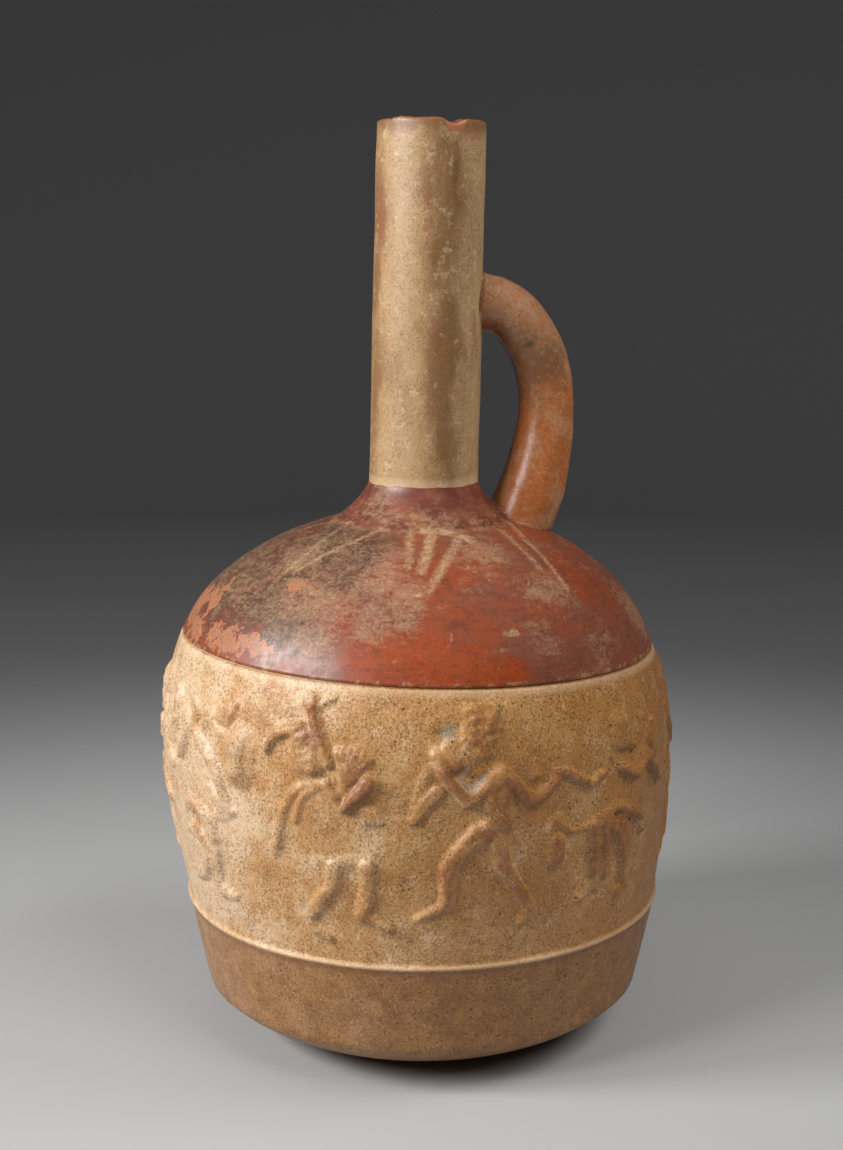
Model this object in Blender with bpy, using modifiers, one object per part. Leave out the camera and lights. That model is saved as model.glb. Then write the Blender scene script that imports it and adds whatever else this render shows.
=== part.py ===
"""A hollow fired-clay jug: a domed body, one upright spout, a tube handle and a band of moulded figures.

The body and the spout are turned outlines. The figures are ridges and mounds that lift the body's wall.
X runs from the spout toward the handle, and the front of the jug faces -Y.
"""
import math

import bmesh
import bpy
import numpy as np

MM = 0.001

# Body: each height is counted from the one before it, and the other radii from the belly's
FOOT_HEIGHT = 15.0 * MM
LOWER_BAND_HEIGHT = 28.0 * MM
BELLY_ABOVE_RIDGE = 45.0 * MM
SEAM_ABOVE_BELLY = 36.0 * MM
BELLY_RADIUS = 79.0 * MM
FOOT_INSET = 10.4 * MM
BASE_INSET = 39.3 * MM
DOME_INSET = 4.7 * MM
LOWER_WALL_POWER = 1.5
UPPER_WALL_POWER = 2.5
FOOT_CORNER_OUT = 0.72
FOOT_CORNER_UP = 0.43
BELLY_SHIFT = 1.9 * MM

# Ridge over the lower band, and the seam under the dome
RIDGE_RISE = 1.0 * MM
RIDGE_HALF_WIDTH = 1.3 * MM
BAND_RISE = 0.4 * MM
SEAM_LEDGE = 0.7 * MM
SEAM_ROUND = 0.8 * MM
GROOVE_HEIGHT = 2.6 * MM
FRIEZE_STEP = 1.6 * MM
SEAM_FALL = 2.5 * MM

# Dome, a quarter of a slightly pointed ellipse that starts a little below the seam
DOME_START = 9.5 * MM
DOME_RISE = 49.0 * MM
DOME_POWER = 1.9

# Neck and spout
SPOUT_RADIUS = 16.8 * MM
SPOUT_LENGTH = 107.6 * MM
SPOUT_LEAN = 2.7 * MM
NECK_SPREAD = 10.2 * MM
NECK_RISE = 12.0 * MM
NECK_FLARE_POWER = 1.45
RIM_TAPER = 0.5 * MM
RIM_ROUND = 0.8 * MM
RIM_FALL = 0.5 * MM
CHIP_ANGLE = math.radians(16.0)
CHIP_RADIUS = 2.4 * MM
CHIP_OUTWARD = 0.5 * MM

# Walls
BODY_WALL = 5.0 * MM
FLOOR_THICKNESS = 6.0 * MM
SPOUT_WALL = 4.0 * MM

# Handle, a solid tube in the XZ plane
HANDLE_RADIUS = 8.5 * MM
HANDLE_GAP = 13.5 * MM
HANDLE_ABOVE_NECK = 54.2 * MM
HANDLE_FOOT_OUT = 2.9 * MM
HANDLE_FOOT_SWELL = 1.22

# Moulded figures
GROUND_ABOVE_RIDGE = 11.0 * MM
HEADROOM = 10.0 * MM
RELIEF_TOP = 2.8 * MM
RELIEF_HIGH = 2.2 * MM
RELIEF_MID = 1.6 * MM
RELIEF_LOW = 1.0 * MM
RELIEF_EDGE = 1.5 * MM
RELIEF_ROUND = 0.5
FRONT_ANGLES = (-56.0, -30.0, 2.0, 37.0)
BACK_FIGURES = 6
BACK_FLATNESS = 0.6

# Mesh fineness
CURVE_STEPS = 3
BODY_STEPS = 360
FRIEZE_ROW = 1.3 * MM
BODY_TRIANGLES = 7000
DOME_ROWS = 22
BAND_ROWS = 7
FOOT_ROWS = 7
NECK_ROWS = 9
SPOUT_STEPS = 32
CAVITY_STEPS = 32
CAVITY_ROWS = 7
CAVITY_FOOT_ROWS = 4
HANDLE_BEVEL_STEPS = 4
HANDLE_ROWS = 4
CHIP_SEGMENTS = 12
CHIP_RINGS = 8
CUT_CLEARANCE = 12.0 * MM
WELD = 0.01 * MM

ridge_height = FOOT_HEIGHT + LOWER_BAND_HEIGHT
belly_height = ridge_height + BELLY_ABOVE_RIDGE
seam_height = belly_height + SEAM_ABOVE_BELLY
groove_bottom = seam_height - GROOVE_HEIGHT
foot_radius = BELLY_RADIUS - FOOT_INSET
base_radius = BELLY_RADIUS - BASE_INSET
dome_radius = BELLY_RADIUS - DOME_INSET
dome_centre = seam_height - DOME_START
dome_top = dome_centre + DOME_RISE


def dome_height(radius):
    """Height of the dome's outer face at a radius."""
    return dome_centre + DOME_RISE * math.sqrt(1.0 - (radius / dome_radius) ** DOME_POWER)


def dome_arc(top_radius, low_height, inset, count):
    """The dome's outline from a radius near the axis down to a height near the seam."""
    rise = DOME_RISE - inset
    radius = dome_radius - inset
    start = math.asin((top_radius / radius) ** (DOME_POWER / 2.0))
    end = math.acos((low_height - dome_centre) / rise)
    angles = np.linspace(start, end, count)
    return [(radius * math.sin(a) ** (2.0 / DOME_POWER), dome_centre + rise * math.cos(a)) for a in angles]


seam_radius = dome_radius * (1.0 - (DOME_START / DOME_RISE) ** 2) ** (1.0 / DOME_POWER)
groove_radius = seam_radius - SEAM_LEDGE
frieze_top_radius = groove_radius + FRIEZE_STEP
bore_radius = SPOUT_RADIUS - SPOUT_WALL
rim_radius = SPOUT_RADIUS - RIM_TAPER
neck_base_radius = SPOUT_RADIUS + NECK_SPREAD
neck_base = dome_height(neck_base_radius)
neck_top = neck_base + NECK_RISE
rim_height = neck_top + SPOUT_LENGTH
figure_ground = ridge_height + GROUND_ABOVE_RIDGE
figure_height = seam_height - HEADROOM - figure_ground


def wall_radius(z):
    """Outer radius of the wall between the foot and the groove under the seam."""
    if z <= belly_height:
        share = (belly_height - z) / (belly_height - FOOT_HEIGHT)
        return BELLY_RADIUS - (BELLY_RADIUS - foot_radius) * share ** LOWER_WALL_POWER
    share = min(1.0, (z - belly_height) / (groove_bottom - belly_height))
    return BELLY_RADIUS - (BELLY_RADIUS - frieze_top_radius) * share ** UPPER_WALL_POWER


def foot_curve(start, end, count):
    """Rounded lower edge, a quadratic curve from the floor's edge (start) up to the wall (end)."""
    corner = (start[0] + FOOT_CORNER_OUT * (end[0] - start[0]),
              start[1] + FOOT_CORNER_UP * (end[1] - start[1]))
    points = []
    for t in np.linspace(0.0, 1.0, count):
        pull = 2.0 * t * (1.0 - t)
        points.append(tuple((1 - t) ** 2 * s + pull * c + t * t * e for s, c, e in zip(start, corner, end)))
    return points


def body_outline():
    """Outer outline of the body as (radius, height), from the dome's top down to the floor's centre."""
    points = dome_arc(0.0, seam_height + SEAM_ROUND, 0.0, DOME_ROWS)
    points.append((seam_radius, seam_height))
    points.append((groove_radius, seam_height - SEAM_ROUND))
    points.append((groove_radius, groove_bottom + SEAM_ROUND))
    ridge_top = ridge_height + RIDGE_HALF_WIDTH
    rows = round((groove_bottom - ridge_top) / FRIEZE_ROW)
    points += [(wall_radius(z), z) for z in np.linspace(groove_bottom, ridge_top, rows)]
    points.append((wall_radius(ridge_height) + RIDGE_RISE, ridge_height))
    for z in np.linspace(ridge_height - RIDGE_HALF_WIDTH, FOOT_HEIGHT, BAND_ROWS):
        share = (z - FOOT_HEIGHT) / LOWER_BAND_HEIGHT
        points.append((wall_radius(z) + BAND_RISE * share, z))
    foot = foot_curve((base_radius, 0.0), (foot_radius, FOOT_HEIGHT), FOOT_ROWS)
    points += foot[-2::-1]
    points.append((0.0, 0.0))
    return points


def spout_outline():
    """Neck and spout as a solid bar, from the rim's centre down to inside the dome."""
    points = [(0.0, rim_height), (rim_radius - RIM_ROUND, rim_height), (rim_radius, rim_height - RIM_ROUND)]
    for share in np.linspace(0.0, 1.0, NECK_ROWS):
        points.append((SPOUT_RADIUS + NECK_SPREAD * share ** NECK_FLARE_POWER, neck_top - NECK_RISE * share))
    buried = neck_base - BODY_WALL / 2
    points.append((neck_base_radius, buried))
    points.append((0.0, buried))
    return points


def cavity_outline():
    """The empty inside: body, neck and spout bore in one, from above the rim down to the floor."""
    top = rim_height + CUT_CLEARANCE
    points = [(0.0, top), (bore_radius, top)]
    points += dome_arc(bore_radius, seam_height, BODY_WALL, CAVITY_ROWS)
    inner_foot = FOOT_HEIGHT + FLOOR_THICKNESS
    for z in np.linspace(groove_bottom, inner_foot, CAVITY_ROWS)[:-1]:
        points.append((wall_radius(z) - BODY_WALL, z))
    foot_end = (wall_radius(inner_foot) - BODY_WALL, inner_foot)
    points += foot_curve((base_radius, FLOOR_THICKNESS), foot_end, CAVITY_FOOT_ROWS)[::-1]
    points.append((0.0, FLOOR_THICKNESS))
    return points


def smooth(path):
    """A soft curve through the given points, cut into equal steps from each point to the next."""
    points = np.array(path, float)
    if len(points) < 3:
        return points
    padded = np.concatenate([[2 * points[0] - points[1]], points, [2 * points[-1] - points[-2]]])
    made = []
    for before, start, end, after in zip(padded[:-3], padded[1:-2], padded[2:-1], padded[3:]):
        bend = 2 * before - 5 * start + 4 * end - after
        twist = 3 * start - before - 3 * end + after
        for t in np.arange(CURVE_STEPS) / CURVE_STEPS:
            made.append(0.5 * (2 * start + (end - before) * t + bend * t * t + twist * t ** 3))
    made.append(points[-1])
    return np.array(made)


def ridge(path, half_width, height, tip=None, swell=0.0):
    """A raised stroke on a soft curve through a path, in hundredths of the figure's height.

    Its half width runs on to the tip's, and may swell on the way.
    """
    points = smooth(path) / 100.0
    steps = np.hypot(*np.diff(points, axis=0).T)
    along = np.concatenate([[0.0], np.cumsum(steps)]) / max(float(steps.sum()), 1e-9)
    end = half_width if tip is None else tip
    widths = half_width + (end - half_width) * along + 4.0 * swell * along * (1.0 - along)
    return points, widths / 100.0, height


def mound(centre, half_width, half_height, height):
    """A raised oval: a short upright ridge whose ends are round."""
    x, y = centre
    reach = max(0.0, half_height - half_width)
    return ridge([(x, y - reach), (x, y + reach)], half_width, height)


def fan(base, radius, first, last, blades, half_width, height):
    """Blades that spread from one point, from the first to the last angle in degrees."""
    strokes = []
    for angle in np.radians(np.linspace(first, last, blades)):
        tip = (base[0] + radius * math.cos(angle), base[1] + radius * math.sin(angle))
        strokes.append(ridge([base, tip], half_width, height))
    return strokes


def staff_bearer():
    """Strides left with a long slanting pole. A large head carries a crest of feathers and plumes."""
    head = [mound((15, 76.5), 10.5, 15.5, RELIEF_MID), mound((15, 76), 6.8, 11.5, RELIEF_TOP)]
    crest = fan((8, 89), 11, 78, 163, 6, 1.1, RELIEF_MID) + [
        ridge([(2, 85), (-5, 88), (-7, 92)], 2.4, RELIEF_LOW, tip=3.0),
        ridge([(-24, 94), (-21, 91), (-21, 87)], 3.9, RELIEF_LOW, tip=2.1),
        ridge([(-10, 91), (-12, 87)], 2.0, RELIEF_LOW),
    ]
    plumes = [
        ridge([(-31, 86), (-28, 82), (-30, 75), (-35, 66)], 2.6, RELIEF_LOW, tip=1.8, swell=0.8),
        ridge([(-44, 96), (-42, 91), (-43, 82), (-44, 72)], 3.0, RELIEF_LOW, tip=2.2, swell=1.0),
        ridge([(-68, 88), (-66, 81), (-61, 70), (-51, 62)], 4.0, RELIEF_LOW, tip=2.6, swell=0.8),
    ]
    arms = [
        ridge([(-19, 80), (-10, 74), (-3, 69), (1, 63), (4, 56), (8, 49)], 2.1, RELIEF_MID, swell=1.2),
        ridge([(-6, 57), (-2, 53), (2, 49)], 2.6, RELIEF_MID, tip=3.7),
        ridge([(-3, 44), (4, 45), (11, 49)], 2.2, RELIEF_LOW, tip=1.3),
    ]
    legs = [
        ridge([(-27, 44), (-17, 43), (-10, 38), (-7, 32)], 3.9, RELIEF_HIGH, tip=4.6),
        ridge([(-7, 30), (-7, 22), (-9, 14), (-9, 8), (-6, 5)], 4.4, RELIEF_MID),
        ridge([(-6, 4), (0, 4), (4, 5)], 3.2, RELIEF_LOW, tip=1.6),
        ridge([(-30, 30), (-20, 30), (-15, 25), (-16, 18), (-22, 10), (-30, 6)], 3.2, RELIEF_MID,
              tip=1.8, swell=1.6),
    ]
    return head + crest + plumes + arms + legs


def cape_bearer():
    """Walks right under a crested headdress, with a cape behind and a ribbed bundle held up in front."""
    hand = (14, 70)
    headdress = [
        mound((-6, 85), 9.0, 12.5, RELIEF_HIGH),
        mound((-6, 107.5), 4.4, 4.4, RELIEF_MID),
        ridge([(-4, 104), (0, 107), (5, 110)], 1.5, RELIEF_LOW),
        ridge([(-5, 105), (-3, 100), (0, 93), (3, 86), (5, 81)], 2.3, RELIEF_HIGH, tip=2.0),
        ridge([(-9, 95), (-18, 93), (-24, 89), (-27, 83)], 3.0, RELIEF_MID, tip=1.6),
    ]
    cape = [
        ridge([(1, 72), (-8, 69), (-16, 60), (-21, 49), (-23, 40), (-25, 35)], 1.3, RELIEF_MID, tip=2.6),
        ridge([(3, 71), (-4, 67), (-9, 61), (-12, 52)], 1.4, RELIEF_MID, swell=0.4),
        ridge([(-3, 64), (-2, 57), (1, 53)], 7.5, RELIEF_LOW, tip=5.0),
    ]
    bundle = fan(hand, 17.5, 54, 107, 6, 1.1, RELIEF_MID) + [
        ridge([(18, 82), (17, 77), (14, 70)], 8.2, RELIEF_LOW, tip=3.4),
    ]
    tassels = [ridge([(x, 61), (x + 2, 55)], 0.9, RELIEF_LOW) for x in (21, 24, 27)]
    arm = [
        ridge([(4, 71), (8, 66), (12, 61)], 2.0, RELIEF_MID),
        ridge([(13, 61), (17, 66), (22, 71), (24, 74)], 1.4, RELIEF_TOP, tip=4.0, swell=0.4),
    ]
    legs = [
        ridge([(-2, 33), (6, 33), (15, 37), (24, 37)], 1.8, RELIEF_LOW),
        ridge([(6, 31), (4, 22), (-2, 14), (-8, 6)], 3.7, RELIEF_MID, tip=2.6),
        ridge([(-10, 5), (-8, -1), (-3, -4), (0, -5)], 2.8, RELIEF_LOW, tip=1.9),
        ridge([(22, 33), (22, 25), (20, 14), (18, 9)], 3.7, RELIEF_MID, tip=2.8),
        ridge([(18, 7), (24, 6), (31, 2)], 2.6, RELIEF_LOW, tip=1.8),
    ]
    return headdress + cape + bundle + tassels + arm + legs


def mantled_figure():
    """Strides between a slanting staff and an outstretched arm, in a long mantle from the head down."""
    headdress = [
        ridge([(2, 99), (1, 95)], 8.4, RELIEF_MID),
        ridge([(-2, 106), (6, 107), (13, 106)], 4.0, RELIEF_LOW),
        ridge([(15, 105), (18, 99), (21, 91), (24, 83), (29, 76)], 5.8, RELIEF_LOW, tip=2.1, swell=1.0),
        ridge([(-4, 106), (-12, 104), (-20, 103)], 3.0, RELIEF_LOW, tip=1.9),
    ]
    arms = [
        ridge([(-12, 90), (-9, 85)], 4.4, RELIEF_MID, tip=5.6),
        ridge([(-18, 87), (-15, 81)], 3.0, RELIEF_MID),
        ridge([(-16, 81), (-10, 73), (-4, 66)], 2.5, RELIEF_HIGH),
        ridge([(-3, 66), (3, 71), (9, 77), (12, 80)], 2.9, RELIEF_MID),
        ridge([(12, 80), (18, 74), (24, 67), (29, 65), (35, 69), (40, 73)], 2.5, RELIEF_HIGH),
        ridge([(41, 77), (48, 74), (56, 70), (61, 67), (66, 70), (69, 71)], 2.3, RELIEF_MID, tip=1.6),
    ]
    staff = [
        ridge([(-23, 82), (-24, 75), (-27, 66), (-29, 61)], 1.6, RELIEF_LOW, swell=0.5),
        ridge([(-18, 70), (-24, 64), (-29, 57)], 3.0, RELIEF_LOW, tip=2.4),
    ]
    torso = [ridge([(11, 73), (10, 64), (11, 56)], 6.5, RELIEF_LOW)]
    legs = [
        ridge([(8, 53), (-1, 48), (-10, 39), (-13, 34)], 6.1, RELIEF_MID, tip=3.6),
        ridge([(-14, 33), (-14, 25), (-15, 17)], 3.4, RELIEF_MID, tip=2.7),
        ridge([(-15, 14), (-21, 12), (-29, 8)], 2.7, RELIEF_LOW, tip=1.3),
        ridge([(12, 52), (11, 44), (12, 35)], 5.6, RELIEF_MID, tip=4.5),
        ridge([(12, 34), (18, 25), (24, 15), (26, 11)], 4.1, RELIEF_MID, tip=2.9),
        ridge([(26, 11), (25, 6), (21, 4)], 3.0, RELIEF_LOW, tip=1.8),
    ]
    return headdress + arms + staff + torso + legs


def stooping_figure():
    """Bends over a belted skirt of hanging strips, with a pouch that trails behind."""
    headdress = [
        ridge([(5, 92), (4, 88)], 9.0, RELIEF_MID),
        ridge([(24, 101), (22, 92), (18, 85), (12, 81)], 2.6, RELIEF_LOW),
    ]
    arms = [
        ridge([(3, 72), (12, 67), (19, 71), (25, 73), (32, 67), (40, 59)], 2.6, RELIEF_MID,
              tip=3.4, swell=0.5),
        ridge([(36, 87), (32, 80), (37, 72)], 3.4, RELIEF_LOW),
        ridge([(14, 65), (16, 56), (15, 51)], 8.0, RELIEF_LOW),
    ]
    belt = [
        ridge([(-1, 52), (8, 49), (17, 44), (24, 38)], 1.6, RELIEF_MID, tip=3.0),
        ridge([(3, 49), (12, 43), (22, 35)], 1.4, RELIEF_MID, tip=1.9),
        ridge([(0, 50), (7, 42), (18, 35)], 1.5, RELIEF_LOW),
        ridge([(-1, 52), (-12, 49), (-20, 46)], 2.0, RELIEF_LOW),
    ]
    strips = [ridge([(top, 46), ((top + low) / 2 + 1, 33), (low, end)], 2.9, RELIEF_MID)
              for top, low, end in ((-18, -16, 15), (-11, -8, 19), (-6, 9, 9), (1, 11, 16))]
    strips.append(ridge([(12, 37), (14, 26), (15, 16)], 3.0, RELIEF_LOW))
    pouch = [
        mound((-40, 38), 5.2, 8.5, RELIEF_MID),
        ridge([(-44, 46), (-43, 52), (-39, 54), (-36, 49)], 1.4, RELIEF_LOW),
        ridge([(-41, 54), (-35, 48), (-29, 46), (-20, 47)], 1.2, RELIEF_LOW),
    ]
    feet = [
        ridge([(8, 16), (8, 9), (3, 6)], 3.3, RELIEF_LOW, tip=2.6),
        ridge([(-18, 16), (-21, 12), (-27, 9)], 2.5, RELIEF_LOW, tip=1.7),
    ]
    return headdress + arms + belt + strips + pouch + feet


FIGURES = (staff_bearer, cape_bearer, mantled_figure, stooping_figure)


def figure_places():
    """Each figure's angle from the front, flatness and strokes: four in front, flatter ones behind."""
    places = [(angle, 1.0, make) for angle, make in zip(FRONT_ANGLES, FIGURES)]
    gap = 360.0 - (FRONT_ANGLES[-1] - FRONT_ANGLES[0])
    for number in range(1, BACK_FIGURES + 1):
        angle = FRONT_ANGLES[-1] + gap * number / (BACK_FIGURES + 1)
        places.append((angle, BACK_FLATNESS, FIGURES[(number + 1) % len(FIGURES)]))
    return [(math.radians(angle), flatness, make()) for angle, flatness, make in places]


def stroke_lift(points, path, widths, rise, edge):
    """The lift of one stroke at each point: a round crest with a soft edge, as wide as the stroke."""
    inside = np.zeros(len(points))
    for number, start in enumerate(path[:-1]):
        along = path[number + 1] - start
        length_squared = max(float(along @ along), 1e-12)
        share = np.clip((points - start) @ along / length_squared, 0.0, 1.0)
        gap = points - (start + share[:, None] * along)
        width = widths[number] + share * (widths[number + 1] - widths[number])
        slope = np.minimum(width, np.maximum(edge, RELIEF_ROUND * width))
        inside = np.maximum(inside, (width - np.hypot(gap[:, 0], gap[:, 1])) / slope)
    share = np.clip(inside, 0.0, 1.0)
    return rise * share * (2.0 - share)


def relief(angle, height):
    """How far the figures lift the wall at each angle from the front and each height."""
    lift = np.zeros(len(angle))
    edge = RELIEF_EDGE / figure_height
    for place, flatness, strokes in figure_places():
        turn = (angle - place + math.pi) % (2.0 * math.pi) - math.pi
        points = np.stack([turn * BELLY_RADIUS, height - figure_ground], axis=1) / figure_height
        for path, widths, rise in strokes:
            lift = np.maximum(lift, stroke_lift(points, path, widths, rise * flatness, edge))
    return lift


def seam_drop(x, z):
    """The seam falls toward the handle, most at its own height, and not at the ridge or the dome's top."""
    below = (z - ridge_height) / (seam_height - ridge_height)
    above = (dome_top - z) / (dome_top - seam_height)
    return -SEAM_FALL * x / seam_radius * np.clip(np.minimum(below, above), 0.0, 1.0)


def belly_shift(z):
    """The belly stands a little off the axis, away from the handle, as a hand-joined body does."""
    share = np.clip((z - ridge_height) / (dome_top - ridge_height), 0.0, 1.0)
    return -BELLY_SHIFT * np.sin(math.pi * share)


def settle(mesh):
    """Shifts the belly and tilts the seam, for the body and for the cavity inside it."""
    for vertex in mesh.vertices:
        x, z = vertex.co.x, vertex.co.z
        vertex.co.x = x + belly_shift(z)
        vertex.co.z = z + seam_drop(x, z)


def raise_figures(mesh):
    """Lifts the figures out of the wall."""
    flat = np.empty(len(mesh.vertices) * 3)
    mesh.vertices.foreach_get("co", flat)
    places = flat.reshape(-1, 3)
    x, y, z = places.T.copy()
    radius = np.maximum(np.hypot(x, y), WELD)
    band = (z > ridge_height + RIDGE_HALF_WIDTH) & (z < groove_bottom)
    lift = np.zeros(len(z))
    lift[band] = relief(np.arctan2(x[band], -y[band]), z[band])
    places[:, 0] = x * (1.0 + lift / radius)
    places[:, 1] = y * (1.0 + lift / radius)
    mesh.vertices.foreach_set("co", places.ravel())
    mesh.update()


def lean_spout(mesh):
    """Leans all that is above the dome toward the handle, and lets the rim fall on that side."""
    for vertex in mesh.vertices:
        share = max(0.0, (vertex.co.z - neck_base) / (rim_height - neck_base))
        fall = RIM_FALL * min(1.0, share) * vertex.co.x / rim_radius
        vertex.co.x += SPOUT_LEAN * share
        vertex.co.z -= fall


def new_collection(name):
    group = bpy.data.collections.new(name)
    bpy.context.scene.collection.children.link(group)
    return group


def turned(name, outline, steps, group):
    """A closed solid turned round Z from an outline of (radius, height) that runs top to bottom."""
    mesh = bpy.data.meshes.new(name)
    edges = [(n, n + 1) for n in range(len(outline) - 1)]
    mesh.from_pydata([(r, 0.0, z) for r, z in outline], edges, [])
    thing = bpy.data.objects.new(name, mesh)
    group.objects.link(thing)
    screw = thing.modifiers.new("turn", "SCREW")
    screw.axis = "Z"
    screw.steps = steps
    screw.render_steps = steps
    screw.use_merge_vertices = True
    screw.merge_threshold = WELD
    screw.use_normal_calculate = True
    return thing


def as_mesh(thing, group):
    """Replaces an object by the plain mesh of what its modifiers or its bevel make."""
    name = thing.name
    bpy.context.view_layer.update()
    evaluated = thing.evaluated_get(bpy.context.evaluated_depsgraph_get())
    mesh = bpy.data.meshes.new_from_object(evaluated)
    place = thing.matrix_world.copy()
    bpy.data.objects.remove(thing)
    clean = bmesh.new()
    clean.from_mesh(mesh)
    bmesh.ops.remove_doubles(clean, verts=clean.verts, dist=WELD)
    bmesh.ops.recalc_face_normals(clean, faces=clean.faces)
    clean.to_mesh(mesh)
    clean.free()
    mesh.name = name
    solid = bpy.data.objects.new(name, mesh)
    solid.matrix_world = place
    group.objects.link(solid)
    return solid


def handle_route():
    """The handle's centre line as (x, height, swell), from the spout over the arch down to the dome."""
    top = neck_top + HANDLE_ABOVE_NECK
    foot_x = neck_base_radius + HANDLE_FOOT_OUT
    foot = dome_height(foot_x)
    arch = top - foot
    reach = SPOUT_RADIUS + HANDLE_GAP + HANDLE_RADIUS
    lean_there = SPOUT_LEAN * (top - neck_base) / (rim_height - neck_base)
    root = SPOUT_RADIUS - SPOUT_WALL / 2 + lean_there
    span = reach - root
    half_swell = (1.0 + HANDLE_FOOT_SWELL) / 2
    return [
        (root, top, 1.0),
        (root + 0.37 * span, top - 0.03 * arch, 1.0),
        (root + 0.71 * span, top - 0.14 * arch, 1.0),
        (root + 0.94 * span, top - 0.31 * arch, 1.0),
        (reach, top - 0.51 * arch, 1.0),
        (foot_x + 0.84 * (reach - foot_x), top - 0.69 * arch, half_swell),
        (foot_x + 0.54 * (reach - foot_x), top - 0.85 * arch, HANDLE_FOOT_SWELL),
        (foot_x, foot - BODY_WALL / 2, HANDLE_FOOT_SWELL),
    ]


def handle_tube(group):
    curve = bpy.data.curves.new("handle", "CURVE")
    curve.dimensions = "3D"
    curve.bevel_depth = HANDLE_RADIUS
    curve.bevel_resolution = HANDLE_BEVEL_STEPS
    curve.resolution_u = HANDLE_ROWS
    curve.use_fill_caps = True
    line = curve.splines.new("BEZIER")
    route = handle_route()
    line.bezier_points.add(len(route) - 1)
    for point, (x, z, swell) in zip(line.bezier_points, route):
        point.co = (x, 0.0, z)
        point.radius = swell
        point.handle_left_type = "AUTO"
        point.handle_right_type = "AUTO"
    thing = bpy.data.objects.new("handle", curve)
    group.objects.link(thing)
    return as_mesh(thing, group)


def rim_chip(group):
    """A small bite out of the rim's outer edge."""
    mesh = bpy.data.meshes.new("rim_chip")
    ball = bmesh.new()
    bmesh.ops.create_uvsphere(ball, u_segments=CHIP_SEGMENTS, v_segments=CHIP_RINGS, radius=CHIP_RADIUS)
    ball.to_mesh(mesh)
    ball.free()
    thing = bpy.data.objects.new("rim_chip", mesh)
    out = rim_radius + CHIP_OUTWARD
    thing.location = (SPOUT_LEAN + out * math.sin(CHIP_ANGLE), -out * math.cos(CHIP_ANGLE), rim_height)
    group.objects.link(thing)
    return thing


def combine(target, other, operation):
    step = target.modifiers.new(other.name, "BOOLEAN")
    step.operation = operation
    step.solver = "EXACT"
    step.object = other
    other.hide_render = True
    other.display_type = "WIRE"


def fired_clay():
    material = bpy.data.materials.new("fired_clay")
    material.use_nodes = True
    shader = material.node_tree.nodes["Principled BSDF"]
    shader.inputs["Base Color"].default_value = (0.48, 0.32, 0.17, 1.0)
    shader.inputs["Roughness"].default_value = 0.5
    shader.inputs["Metallic"].default_value = 0.0
    return material


def build():
    for thing in list(bpy.data.objects):
        bpy.data.objects.remove(thing)
    vessel = new_collection("spouted_jug")
    tools = new_collection("cutters")

    jug = as_mesh(turned("jug", body_outline(), BODY_STEPS, vessel), vessel)
    raise_figures(jug.data)
    settle(jug.data)
    triangles = sum(len(face.vertices) - 2 for face in jug.data.polygons)
    thin = jug.modifiers.new("thin_out", "DECIMATE")
    thin.ratio = BODY_TRIANGLES / triangles

    spout = as_mesh(turned("spout", spout_outline(), SPOUT_STEPS, tools), tools)
    lean_spout(spout.data)
    cavity = as_mesh(turned("cavity", cavity_outline(), CAVITY_STEPS, tools), tools)
    settle(cavity.data)
    lean_spout(cavity.data)

    combine(jug, spout, "UNION")
    combine(jug, handle_tube(tools), "UNION")
    combine(jug, cavity, "DIFFERENCE")
    combine(jug, rim_chip(tools), "DIFFERENCE")
    jug.data.shade_smooth()
    jug.data.materials.append(fired_clay())


build()
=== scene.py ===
"""The looks of a handled spouted jug: one fine clay mesh with worn slip, painted rays and a moulded frieze.

Sizes are in millimetres until a mesh is made. They repeat the solid's, but the ridge, the seam's groove, the
chip and the figures' strokes are finer here. Angles run from the front (-Y) toward the handle (+X). A point's
level is its height before the belly is shifted and the seam is tilted.
"""

import math

import bmesh
import bpy
import numpy as np
from mathutils import Euler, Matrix, Vector, kdtree, noise

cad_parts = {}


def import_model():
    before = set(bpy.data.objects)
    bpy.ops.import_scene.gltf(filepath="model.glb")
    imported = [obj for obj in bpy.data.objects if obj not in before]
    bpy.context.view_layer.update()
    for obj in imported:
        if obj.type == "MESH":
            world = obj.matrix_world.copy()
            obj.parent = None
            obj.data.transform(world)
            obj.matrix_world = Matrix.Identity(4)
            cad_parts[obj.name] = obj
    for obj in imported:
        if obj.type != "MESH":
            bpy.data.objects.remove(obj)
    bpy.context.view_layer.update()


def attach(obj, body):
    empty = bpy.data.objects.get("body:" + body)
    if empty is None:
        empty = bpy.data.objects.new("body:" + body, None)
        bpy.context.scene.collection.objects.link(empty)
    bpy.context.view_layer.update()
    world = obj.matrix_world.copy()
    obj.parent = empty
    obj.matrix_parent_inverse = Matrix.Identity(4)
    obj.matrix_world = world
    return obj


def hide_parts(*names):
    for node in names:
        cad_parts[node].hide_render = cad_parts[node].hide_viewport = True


MM = 0.001

# Body
FOOT_HEIGHT = 15.0
LOWER_BAND_HEIGHT = 28.0
BELLY_ABOVE_RIDGE = 45.0
SEAM_ABOVE_BELLY = 36.0
BELLY_RADIUS = 79.0
FOOT_INSET = 10.4
BASE_INSET = 39.3
DOME_INSET = 4.7
LOWER_WALL_POWER = 1.5
UPPER_WALL_POWER = 2.5
FOOT_CORNER_OUT = 0.72
FOOT_CORNER_UP = 0.43
BELLY_SHIFT = 1.9
RIDGE_RISE = 1.0
RIDGE_HALF_WIDTH = 1.0
BAND_RISE = 0.4
SEAM_LEDGE = 0.7
SEAM_ROUND = 0.8
GROOVE_HEIGHT = 1.5
FRIEZE_STEP = 1.5
SEAM_FALL = 2.5
DOME_START = 9.5
DOME_RISE = 49.0
DOME_POWER = 1.9

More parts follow.
